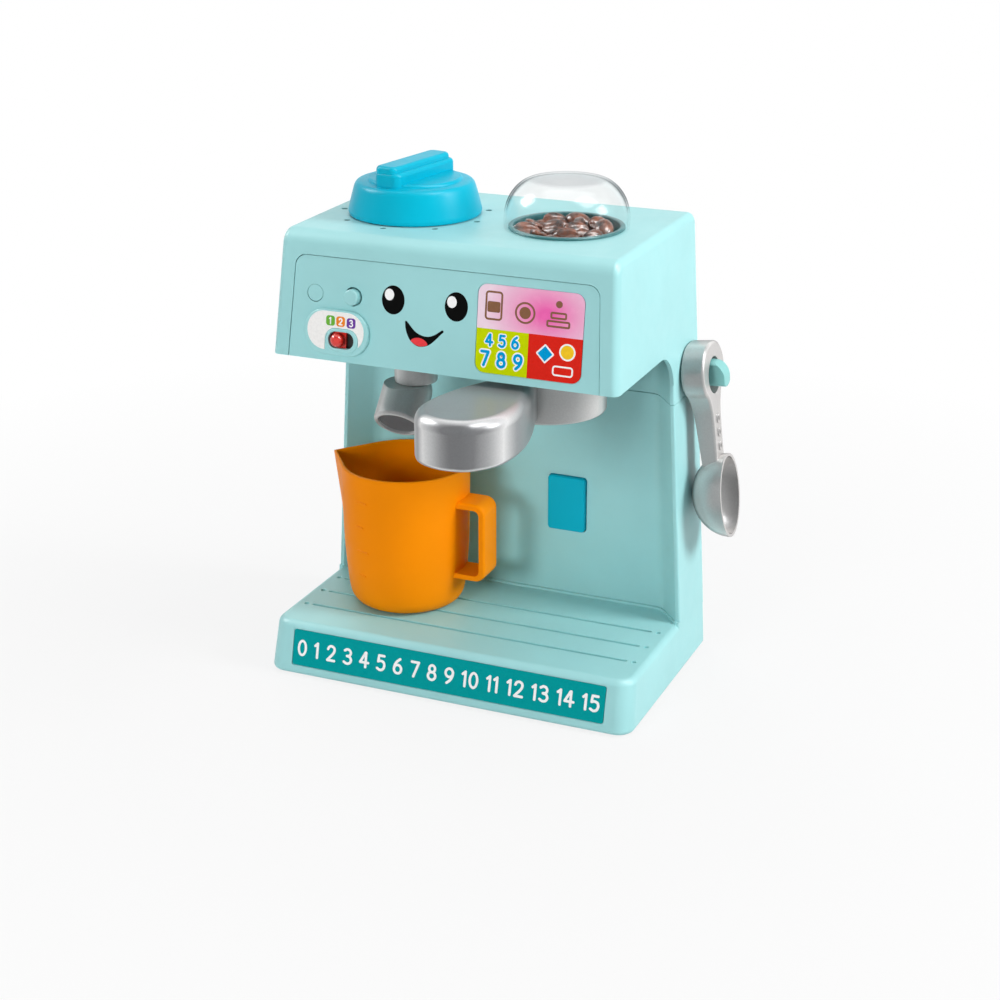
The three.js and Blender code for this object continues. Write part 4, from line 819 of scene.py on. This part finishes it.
def make_beans():
    well = lathe([
        (0, 227), (26.6, 227), (27.42, 227.8), (27.42, 240.15), (28.92, 240.15), (28.92, 240.9),
        (28.5, 241.35), (26.9, 241.35), (26.4, 241), (26.22, 240.2), (26.22, 228.5), (0, 228.2)],
        96, standing(DOME))
    dress(well, "well_cup", "machine", well_teal_painted_shade, ["bean_well"])
    random.seed(7)
    chosen = [(-17.5, -9.5, 238.6, 20, 0.2, 0.8), (-8, -15.5, 238.6, 100, 0.5, 0.3),
              (5.5, -15.5, 239.2, 12, -0.1, 0.9), (17, -10.5, 238.6, 150, 0.15, -0.8),
              (-18, 3, 239, 80, 0.4, 0.3), (-6, -3.5, 239.9, 165, 0.1, -0.8), (7, -4, 240, 40, 0.1, 0.8),
              (18, 3.5, 239.2, 110, -0.5, 2.9), (-11, 13, 239.2, 30, 0.2, 0.8),
              (1.5, 8.5, 239.8, 120, 0.0, -0.7), (12.5, 13, 239.3, 60, 0.2, 0.9),
              (-1, 18.5, 238.6, 5, 0.2, 3.1)]
    for x, y in ((-14, -4), (0, -10), (14, -3), (-5, 5), (8, 5), (-18, -4), (18, -3), (-11, -16), (11, -16),
                 (0, 14), (-15, 9), (15, 9), (0, -18), (-8, 17), (9, 17)):
        chosen.append((x, y, 235.4 + random.uniform(-0.5, 0.6), random.uniform(0, 180),
                       random.uniform(-0.4, 0.4), random.choice((0.2, 3.0)) + random.uniform(-0.4, 0.4)))
    points, faces = [], []
    for x, y, z, turn, tip, roll in chosen:
        some, loops = bean_mesh((DOME[0] + x, DOME[1] + y, z), math.radians(turn), tip, roll,
                                random.uniform(0.93, 1.0))
        faces += [tuple(i + len(points) for i in loop) for loop in loops]
        points += some
    beans = new_object(points, faces)
    dress(beans, "bean_heap", "machine", bean_brown, ["bean_bed"], angle=180)


def make_brew():
    at = standing(BREW)
    basket = lathe(outline([
        (7.3, 154.3), (7.3, 152.3), (10.5, 152.3), (10.5, 149.3), (29.5, 149.3, 1.6), (29.5, 175, 1.2),
        (27.3, 175, 0.8), (27.3, 154.3, 2), (7.3, 154.3)], 6), 128, at)
    dress(basket, "brew_ring", "portafilter", silver_brighter_painted_light, ["portafilter_basket"],
          angle=40)
    half = [(7, 22), (9.5, 32), (15.5, 46), (20.8, 62), (23.2, 77), (22.8, 90), (18.5, 100), (11.5, 107)]
    turn = at @ Matrix.Rotation(math.pi - math.radians(5.8), 4, "Z")
    handle = slab(mirrored(half, 109.8, 6), 150.3, 174.4, 6, 2.4, turn, 14)
    cut(handle, tool(ring(*BREW, 29.65, 128), 0, 240))
    dress(handle, "brew_handle", "portafilter", silver, ["portafilter_handle"], angle=40,
          bevel=0.5, segments=3)
    hub = lathe(outline([
        (0, 152.45), (7, 152.45), (7, 175.96, 1), (16, 175.96, 0.5), (16, 177.56), (0, 177.56)], 6), 64, at)
    dress(hub, "brew_boss", "machine", silver, ["brew_hub"], angle=40)


def make_wand():
    at = standing(WAND)
    collar = lathe(outline([
        (5, 157.3), (11.1, 157.3, 0.8), (11.1, 177.5, 0.3), (5, 177.5), (5, 157.3)], 6), 64, at)
    dress(collar, "wand_ring", "machine", silver_mid_painted_light, ["wand_collar"], angle=40)
    down = Vector((1, -13.75, -13.8))
    length = down.length
    slant = down.to_track_quat("Z", "Y").to_matrix().to_4x4()
    slant = Matrix.Translation((WAND[0] - 3, WAND[1] - 4.5, 152.2)) @ slant
    round_end = [(12.9 * math.sin(a), -12.9 * math.cos(a)) for a in quarter(12)]
    tip = outline([(12.9, 0), (12.9, length, 1.9), (10.5, length, 0.5), (10.3, length - 1.6, 0.3),
                   (0, length - 1.6)], 8)
    nozzle = lathe(round_end + tip[1:], 96, slant)
    cut(nozzle, tool(ring(*WAND, 22, 48), 157.15, 240))
    join(nozzle, tool(ring(*WAND, 4.8, 48), 152.5, 179.7))
    dress(nozzle, "wand_spout", "wand", silver_mid_painted_light, ["wand_nozzle"], angle=40, bevel=0.3)
    # A dark disc inside the spout's end paints the shade in its hollow.
    mouth = slab(ring(0, 0, 10.2, 64), length - 1.8, length - 1.35, 0.2, 0, slant, 3)
    dress(mouth, "wand_mouth", "wand", mouth_painted_shade)


def make_pad():
    pad = slab(block(19.9, 41.1, 66, 96.6, 2), -38.4, -32.6, 0.8, 0, FRONT_VIEW, 6)
    join(pad, tool(block(17.9, 43.1, 64, 98.6, 2), -39.7, -37.55, FRONT_VIEW))
    dress(pad, "pad_face", "pad", blue, ["cup_pad"], bevel=0.2)


def make_scoop():
    flat = [Vector((max(-4.8, min(4.8, p.x)), p.y)) for p in ring(0, 160.4, 7, 96)]
    peg = slab(flat, 0.15, 20.4, 0.7, 0, RIGHT_SIDE, 4)
    out = Vector((1, 0, side_lean)).normalized()
    profile = frame_of(out, side_up, -Y, (HALF_FLOOR, PEG_BACK, 0))
    hook = outline([(-2, 150), (20.4, 150, 3), (20.4, 167.4, 10), (-2, 167.4)], 14)
    combine(peg, [slab(hook, -9, 9, 0.8, matrix=profile, rims=3)], "INTERSECT")
    join(peg, tool(ring(0, PEG_UP, 4, 32), -2.4, 1.5, RIGHT_SIDE))
    dress(peg, "scoop_post", "machine", peg_teal_painted_shade, ["scoop_peg"], angle=40, bevel=0.4)
    # The scoop's frame hangs from its eye, with its lower end a little out from the wall.
    eye_up, bowl_up, neck_low = 156.85, 92.85, 110.25
    hang = (RIGHT_SIDE @ Matrix.Translation((0, eye_up, 0)) @ Matrix.Rotation(-math.radians(3.5), 4, "X")
            @ Matrix.Translation((0, -eye_up, 0)))
    half = [(6.2, neck_low), (6.2, 121)] + [(17.3 * x, eye_up + 17.4 * up) for x, up in (
        (0.362, -1.468), (0.414, -0.951), (0.586, -0.606), (0.851, -0.319), (1, 0), (0.989, 0.342),
        (0.793, 0.687), (0.46, 0.934))]
    half = [(x, up + (1.4 if up > 145 else 0)) for x, up in half]
    eye = eye_up + 1.5
    top = eye_up + 18.8
    handle = slab(mirrored(half, top, 6), 1.5, 13.5, 1.5, 0.6, hang, 8)
    thin = [(x - 2, min(up, top - 6)) for x, up in half]
    pocket = tool(mirrored(thin, top - 2, 4), -20, 11.5, hang)
    cut(pocket, tool(ring(0, eye, 11.6, 64), -30, 30, hang))
    slope = 3.6 / (eye_up - neck_low)
    behind = outline([(eye_up, 1.5), (eye_up, -20), (90, -20), (90, 1.5 + slope * (eye_up - 90))])
    cut(handle, pocket, bore(behind, hang @ SIDE_VIEW), bore(ring(0, eye, 9.6, 64), hang))
    rim = 16.9

    def bowl(wide, tall, deep, rise):
        sizes = [(rim + rise, 1)] if rise else []
        for a in (math.pi / 2 * k / 21.4 for k in range(22)):
            sizes.append((rim - deep * math.sin(a), math.cos(a)))
        return loft([[hang @ Vector((p.x, p.y, level))
                      for p in ring(0, bowl_up, wide * size, 72, tall * size)] for level, size in sizes])

    join(handle, bowl(16.6, 22.6, 20.3, 0))
    cut(handle, bowl(15, 21, 18.7, 3))
    dress(handle, "scoop_body", "measuring_scoop", silver_brighter_painted_light, ["scoop"], angle=40,
          bevel=0.4, segments=3)
    for k, up in enumerate((135, 127.6, 120.2)):
        mark = slab(ring(0, up, 2, 40, 2.6), 13.3, 14.1, 0.35, 0, hang, 4)
        cut(mark, tool(ring(0, up, 0.9, 32, 1.4), 10, 16, hang))
        dress(mark, "scoop_mark_%d" % (k + 1), "measuring_scoop", silver_brighter_painted_light)


def make_jug():
    outside = outline([(0, 28.65), (14, 28.65)]) + smooth_open([
        (22.8, 28.75), (27.2, 30.1), (30, 33.2), (31.4, 38.5), (32.6, 50), (33.3, 60), (33.64, 68),
        (33.98, 87), (34.3, 105.2)])
    rim = outline([(34.35, 106.2), (33.95, 106.8), (33.3, 107), (32.7, 106.7)])
    inside = smooth_open([
        (20.8, 30.65), (25.2, 31.9), (28, 35.2), (29.4, 40.4), (30.6, 52), (31.6, 69), (31.95, 88),
        (32.35, 106)])
    wall = outside + rim + list(reversed(inside)) + [Vector((0, 30.65))]

    def spout(p):
        x, y = p.x - JUG[0], p.y - JUG[1]
        radius = math.hypot(x, y)
        rise = (p.z - 36) / 71
        if radius < 19 or rise <= 0:
            return p
        reach = radius + 8.6 * min(rise, 1)
        width = math.acos(min(radius / reach, 1))
        turn = abs(math.atan2(y, -x))
        blend = 0.13
        if turn >= width + blend:
            return p
        straight = 1 / math.cos(max(0, width - turn)) if turn < width else 1.0
        soft = max(0.0, 1 - abs(turn - width) / blend)
        longer = straight + 0.004 * soft * soft * rise
        return Vector((JUG[0] + x * longer, JUG[1] + y * longer, p.z))

    jug = lathe([(max(0, p.x), p.y) for p in wall], 192, standing(JUG), spout)
    end = JUG[0] + 49
    strap = slab(block(JUG[0], end, 47.06, 90.78, 6, 10), 2 - 8.7, 2 + 8.7, 1.4, matrix=FRONT_VIEW,
                 rims=6)
    cut(strap, tool(block(JUG[0], end - 3.3, 50.36, 87.48, 3, 8), -40, 40, FRONT_VIEW),
        lathe([(0, 20), (31.2, 20), (31.6, 40), (33, 60), (33.1, 95), (0, 95)], 96,
              standing(JUG)))
    join(jug, strap)
    dress(jug, "jug_body", "milk_jug", orange, ["jug"], angle=48, bevel=0.3)
    out = Vector((math.sin(MARKS_TURN), -math.cos(MARKS_TURN), 0))
    across = Vector((math.cos(MARKS_TURN), math.sin(MARKS_TURN), 0))
    for k, (z, radius) in enumerate(((50, 32.55), (64, 33.45), (78, 33.78), (92, 34.02))):
        place = frame_of(across, Z, out, Vector((*JUG, z)) + out * radius)
        mark = slab(block(-4.2, 4.2 if k % 2 else 1.2, -0.7, 0.7, 0.6, 4), -0.8, 0.5, 0.4, 0, place, 4)
        reshape(mark, lambda p, r=radius: bend_round(p, r))
        dress(mark, "jug_mark_%d" % (k + 1), "milk_jug", orange)


def bend_round(p, radius):
    """Bends a flat mark that stands on the jug's wall round the jug."""
    x, y = p.x - JUG[0], p.y - JUG[1]
    facing = Vector((math.sin(MARKS_TURN), -math.cos(MARKS_TURN)))
    out = x * facing.x + y * facing.y
    a = (-x * facing.y + y * facing.x) / radius
    turned_x = facing.x * math.cos(a) - facing.y * math.sin(a)
    turned_y = facing.x * math.sin(a) + facing.y * math.cos(a)
    return Vector((JUG[0] + turned_x * out, JUG[1] + turned_y * out, p.z))


# Printed shapes are thin inlays.
def inlay(name, shape, low, high, material, hole=None):
    piece = tool(shape, low, high, PANEL)
    if hole:
        cut(piece, bore(hole, PANEL))
    dress(piece, name, "machine", material)


def make_face():
    low, high = PANEL_FACE - 0.1, PANEL_FACE + 0.06
    for side, x, y, shine_x, shine_y in (("left", -26.05, 33.75, -28.15, 36.2),
                                         ("right", 7.45, 33.9, 5.05, 36)):
        inlay("eye_" + side, ring(x, y, 6.05, 96, 7.05), low, high, ink["black"])
        inlay("eye_" + side + "_shine", ring(shine_x, shine_y, 2.5, 64, 2.85), PANEL_FACE, PANEL_FACE + 0.1,
              ink["white"])
    upper = [(-19.3, 23.9), (-18.75, 24.35), (-17.7, 23.6), (-15.3, 21.05), (-12.7, 19.05), (-9.6, 17.95),
             (-6.6, 17.85), (-3.6, 18.9), (-1.2, 20.5), (0.5, 21.75)]
    lower = [(1.25, 21.6), (1.25, 20.8), (-0.2, 19.4), (-2.5, 16.95), (-5.4, 14.3), (-7.9, 13),
             (-10.9, 12.45), (-13.4, 13.05), (-16.1, 14.95), (-18, 18), (-19, 21.1)]
    inlay("mouth", smooth_open(upper) + smooth_open(lower), low, high, ink["black"])
    tongue = smooth_closed([(-15.8, 15), (-14.5, 16.2), (-12.1, 16.75), (-9.6, 16.4), (-7.8, 15.3),
                            (-6.9, 13.9), (-8.4, 13.1), (-10.9, 12.65), (-13.2, 13.2), (-14.9, 14.15)])
    inlay("tongue", tongue, PANEL_FACE, PANEL_FACE + 0.1, ink["tongue"])


# Each number's strokes, in shares of its height about its middle
STROKES = {
    "0": [("ring", 0, 0, 0.27, 0.5)],
    "1": [("line", (-0.13, 0.32), (0.06, 0.5)), ("line", (0.06, 0.5), (0.06, -0.5))],
    "2": [("curve", (-0.25, 0.27), (-0.16, 0.44), (0.03, 0.5), (0.22, 0.4), (0.25, 0.2), (0.12, -0.06),
           (-0.26, -0.5)),
          ("line", (-0.26, -0.5), (0.28, -0.5))],
    "3": [("curve", (-0.24, 0.4), (-0.06, 0.5), (0.14, 0.45), (0.23, 0.26), (0.14, 0.08), (-0.05, 0.03)),
          ("curve", (-0.05, 0.03), (0.17, -0.02), (0.28, -0.23), (0.18, -0.44), (-0.05, -0.5),
           (-0.26, -0.4))],
    "4": [("line", (0.08, 0.5), (-0.29, -0.19)), ("line", (-0.29, -0.19), (0.32, -0.19)),
          ("line", (0.12, 0.5), (0.12, -0.5))],
    "5": [("line", (0.22, 0.5), (-0.17, 0.5)), ("line", (-0.17, 0.5), (-0.21, 0.08)),
          ("curve", (-0.21, 0.08), (-0.02, 0.14), (0.2, 0.06), (0.27, -0.17), (0.18, -0.41), (-0.04, -0.5),
           (-0.26, -0.4))],
    "6": [("curve", (0.14, 0.5), (-0.1, 0.28), (-0.24, 0), (-0.27, -0.2)), ("ring", 0, -0.21, 0.27, 0.29)],
    "7": [("line", (-0.26, 0.5), (0.27, 0.5)), ("line", (0.27, 0.5), (-0.07, -0.5))],
    "8": [("ring", 0, 0.26, 0.21, 0.24), ("ring", 0, -0.23, 0.27, 0.27)],
    "9": [("ring", 0, 0.21, 0.27, 0.29), ("curve", (0.27, 0.2), (0.24, 0), (0.1, -0.28), (-0.14, -0.5))],
}


def round_cap(centre, start, weight):
    """The end of a round pen's line, turned clockwise from one side of the line to the other."""
    turn = math.atan2(*reversed(start - centre))
    return [centre + Vector((math.cos(turn - a), math.sin(turn - a))) * weight
            for a in (math.pi * k / 8 for k in range(1, 8))]


def stroke(points, weight):
    """The outline of a line drawn through points with a round pen."""
    left, right = [], []
    for i, p in enumerate(points):
        along = (points[min(i + 1, len(points) - 1)] - points[max(i - 1, 0)]).normalized()
        side = Vector((-along.y, along.x)) * weight
        left.append(p + side)
        right.append(p - side)
    return (left + round_cap(points[-1], left[-1], weight) + list(reversed(right))
            + round_cap(points[0], right[0], weight))


def ring_slab(x, y, wide, tall, weight, low, high, matrix):
    """An oval drawn with a pen and raised from low to high."""
    steps = 36
    inner = ring(x, y, wide - weight, steps, tall - weight)
    outer = ring(x, y, wide + weight, steps, tall + weight)
    points = [matrix @ Vector((p.x, p.y, level)) for loop, level in
              ((inner, low), (outer, low), (outer, high), (inner, high)) for p in loop]
    faces = []
    for k in range(4):
        here, after = k * steps, (k + 1) % 4 * steps
        for i in range(steps):
            j = (i + 1) % steps
            faces.append((here + i, here + j, after + j, after + i))
    return new_object(points, faces)


def digits(name, text, x, y, size, low, high, material, matrix=PANEL, pitch=0.8, weight=0.085,
           word=0.35):
    """A row of plain numbers drawn with a round pen, centred on x and y."""
    narrow = {"1": 0.62, " ": word / 0.8}
    widths = [pitch * size * narrow.get(mark, 1) for mark in text]
    at = x - sum(widths) / 2
    pieces = []
    for mark, width in zip(text, widths):
        middle = at + width / 2
        at += width
        for k, (kind, *drawn) in enumerate(STROKES.get(mark, ())):
            top = high + 0.012 * k
            if kind == "ring":
                pieces.append(ring_slab(middle + drawn[0] * size, y + drawn[1] * size, drawn[2] * size,
                                        drawn[3] * size, weight * size, low, top, matrix))
                continue
            spots = [Vector((middle + across * size, y + up * size)) for across, up in drawn]
            if kind == "curve":
                spots = smooth_open(spots, 5)
            pieces.append(tool(stroke(spots, weight * size), low, top, matrix))
    dress(merge(pieces, name), name, "machine", material)


def make_prints():
    digits("strip_numbers", "0 1 2 3 4 5 6 7 8 9 10 11 12 13 14 15", 0, 15.8, 7.6, -0.1, 0.02, ink["white"],
           STRIP, pitch=0.84, weight=0.09, word=0.42)
    for mark, x, y, shift, tone in (("1", -58.4, 20.5, -0.1, "green"), ("2", -52.85, 20.5, 0, "orange"),
                                    ("3", -47.1, 20.2, 0, "purple")):
        spot = block(x - 2.4, x + 2.4, y - 2.5, y + 2.5, 1.4, 6)
        inlay("stage_spot_" + mark, spot, 2.3, 2.46, ink[tone])
        digits("stage_number_" + mark, mark, x + shift, y, 3.0, 2.4, 2.5, ink["white"],
               weight=0.11)
    # The screen: a pink field above two others, with motifs and numbers on them
    screen_low, screen = -0.7, -0.3
    under = screen - 0.1
    left, right, split, cross = 18.6, 72.8, 45.4, 25.3
    whole = block(left, right, 3.9, 46.7, 4.9, 12)
    field = tool(whole, screen_low, screen, PANEL)
    cut(field, bore(block(left - 5, right + 5, 0, cross), PANEL))
    dress(field, "screen_top", "machine", screen_pink, ["screen_label"])
    for name, start, end, material in (("screen_left", left - 5, split, ink["lime"]),
                                       ("screen_right", split, right + 5, ink["red"])):
        field = tool(whole, screen_low, screen, PANEL)
        combine(field, [bore(block(start, end, 0, cross), PANEL)], "INTERSECT")
        dress(field, name, "machine", material)

    def motif(name, shape, line=None):
        hole = inset(shape, line) if line else None
        inlay("motif_" + name, shape, under, screen + 0.06, ink["brown"], hole)

    motif("tall", block(22.4, 31.4, 29.6, 43.6, 1.8, 6), 0.95)
    motif("tall_band", block(23.6, 30.2, 33.4, 38.6, 0.8, 4))
    motif("ring", ring(43, 34.8, 5.2, 64), 0.95)
    motif("ring_middle", ring(43, 34.8, 2.9, 48))
    for k, half in enumerate((6, 4.2)):
        middle = 31.2 + k * 4
        motif("bar_%d" % (k + 1), block(60 - half, 60 + half, middle - 1.7, middle + 1.7, 1, 4), 0.95)
    motif("spot", ring(60, 40.6, 1.7, 40))
    for name, text, y, size, thick in (("lime_numbers", "4 5 6", 20, 5.2, 0.12),
                                       ("lime_numbers_2", "7 8 9", 10.9, 6.6, 0.11)):
        digits(name + "_edge", text, 32, y, size, under, screen + 0.03, ink["white"],
               weight=thick + 0.1, word=0.5)
        digits(name, text, 32, y, size, screen, screen + 0.1, ink["blue"],
               weight=thick, word=0.5)
    diamond = outline([(54.2, 21.4, 0.6), (49.4, 16.6, 0.6), (54.2, 11.8, 0.6), (59, 16.6, 0.6)], 4)
    spot, spot_edge = ring(65.4, 18.4, 3.3, 48), ring(65.4, 18.4, 4.1, 48)
    for name, shape, edge, colour in (("diamond", inset(diamond, 0.8), diamond, ink["blue"]),
                                      ("spot", spot, spot_edge, ink["yellow"])):
        inlay("shape_" + name + "_edge", edge, under, screen + 0.05, ink["white"])
        inlay("shape_" + name, shape, screen, screen + 0.1, colour)
    bar = block(58.2, 68.8, 6.6, 11.6, 1.6, 6)
    inlay("shape_bar", bar, under, screen + 0.05, ink["white"], inset(bar, 0.8))


# CAD nodes whose shape is right keep it and get a finished surface.
def numbered(name, count):
    return ["%s_%d" % (name, k + 1) for k in range(count)]


def keep_nodes():
    finishes = {
        teal: ["base_cover", "battery_box", "battery_door", "head_underside", "rear_cover"],
        black: ["button_flush_contact", "button_proud_contact", "stage_switch", "cup_switch", "speaker",
                "dial_keeper"],
        rubber: numbered("foot", 4),
        steel: ["door_screw", "dial_screw", "portafilter_keeper", "contact_left", "contact_right"]
        + numbered("base_screw", 4) + numbered("rear_screw", 4),
        cell_can: numbered("battery", 3),
        board: ["circuit_board"],
    }
    for material, names in finishes.items():
        for name in names:
            polish(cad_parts[name], material, 30)


# Floor, lights and camera
def make_floor():
    """A flat round floor whose wall rises in a wide curve."""
    flat = 2.1
    profile = [(0.7, 0), (1.5, 0), (flat, 0)]
    profile += [(flat + math.sin(a), 1 - math.cos(a)) for a in quarter(12)[1:]]
    profile.append((flat + 1, 3.5))
    steps = 72
    points = [(0, 0, 0)]
    for radius, level in profile:
        points += [(p.x, p.y, level) for p in ring(0, 0, radius, steps)]
    faces = [(0, 1 + k, 1 + (k + 1) % steps) for k in range(steps)]
    for i in range(len(profile) - 1):
        low, high = 1 + i * steps, 1 + (i + 1) * steps
        faces += [(low + k, high + k, high + (k + 1) % steps, low + (k + 1) % steps) for k in range(steps)]
    floor = new_object(points, faces, "floor", scaled=False)
    floor.data.polygons.foreach_set("use_smooth", [True] * len(floor.data.polygons))
    # It throws light back as a grey does, and is seen and mirrored as white, whiter the farther out.
    made, tree, shader = new_material("floor_white", (0.62, 0.62, 0.62), 0.85, specular=0.1)
    glow = add_node(tree, "Emission", {"Color": (1, 1, 1, 1)})
    paths = add_node(tree, "LightPath").outputs
    mirrored_or_through = maths(tree, "ADD", paths["Is Glossy Ray"], paths["Is Transmission Ray"], True)
    seen = maths(tree, "ADD", paths["Is Camera Ray"], mirrored_or_through, True)
    far = add_node(tree, "VectorMath", {0: spot_on(tree)}, operation="LENGTH").outputs["Value"]
    share = maths(tree, "MULTIPLY", seen, spread(tree, far, 0.84, 1.0, 0.2, 0.6))
    mixed = add_node(tree, "MixShader", {"Fac": share, 1: shader.outputs["BSDF"], 2: glow.outputs[0]})
    tree.links.new(mixed.outputs[0], tree.nodes["Material Output"].inputs["Surface"])
    floor.data.materials.append(made)


def put(name, data, place, towards):
    """Sets a lamp or the camera at a place, turned towards a direction."""
    holder = bpy.data.objects.new(name, data)
    bpy.context.scene.collection.objects.link(holder)
    holder.location = place
    holder.rotation_mode = "QUATERNION"
    holder.rotation_quaternion = Vector(towards).to_track_quat("-Z", "Y")
    return holder


def lamp(name, place, aim, wide, tall, power):
    light = bpy.data.lights.new(name, "AREA")
    light.shape = "RECTANGLE"
    light.size = wide
    light.size_y = tall
    light.energy = power
    return put(name, light, place, Vector(aim) - Vector(place))


def make_lights():
    lamp("key", (1.3, 0.15, 0.85), (0, 0, 0.12), 0.5, 0.5, 18.5)
    lamp("front", (-0.3, -1.45, 0.5), (0, 0, 0.12), 0.45, 0.4, 9.8).visible_glossy = False
    lamp("back", (-0.9, 1.2, 0.8), (0, 0, 0.12), 0.9, 0.9, 6.0).visible_glossy = False
    lamp("top", (0.0, 0.1, 1.5), (0, 0, 0.1), 1.3, 1.1, 8.0)
    for name, place in (("glint_left", (-1.0, -0.12, 0.95)), ("glint_right", (0.62, -0.08, 1.15))):
        lamp(name, place, (0, -0.05, 0.15), 0.5, 0.5, 15.0).visible_diffuse = False
    world = bpy.data.worlds.new("studio")
    bpy.context.scene.world = world
    world.use_nodes = True
    world.node_tree.nodes["Background"].inputs["Color"].default_value = (1, 1, 1, 1)
    world.node_tree.nodes["Background"].inputs["Strength"].default_value = 0.28
    bpy.context.scene.view_settings.view_transform = "Standard"


def make_camera():
    """The camera that a fit to the machine's edges gives."""
    focal_pixels, picture_pixels = 1999.39, 1000
    lens = bpy.data.cameras.new("camera")
    lens.sensor_width = 36
    lens.lens = focal_pixels * lens.sensor_width / picture_pixels
    lens.clip_start = 0.05
    lens.clip_end = 50
    turn, rise = math.radians(23.052), math.radians(21.161)
    back = Vector((math.sin(turn) * math.cos(rise), -math.cos(turn) * math.cos(rise), math.sin(rise)))
    target = (Vector((5.964, 0, 91.599)) + SHIFT) * MM
    distance = 1.0492
    bpy.context.scene.camera = put("camera", lens, target + back * distance, -back)


make_base()
make_column()
make_head()
make_panel()
make_dial()
make_dome()
make_beans()
make_brew()
make_wand()
make_pad()
make_scoop()
make_jug()
make_face()
make_prints()
keep_nodes()
make_floor()
make_lights()
make_camera()
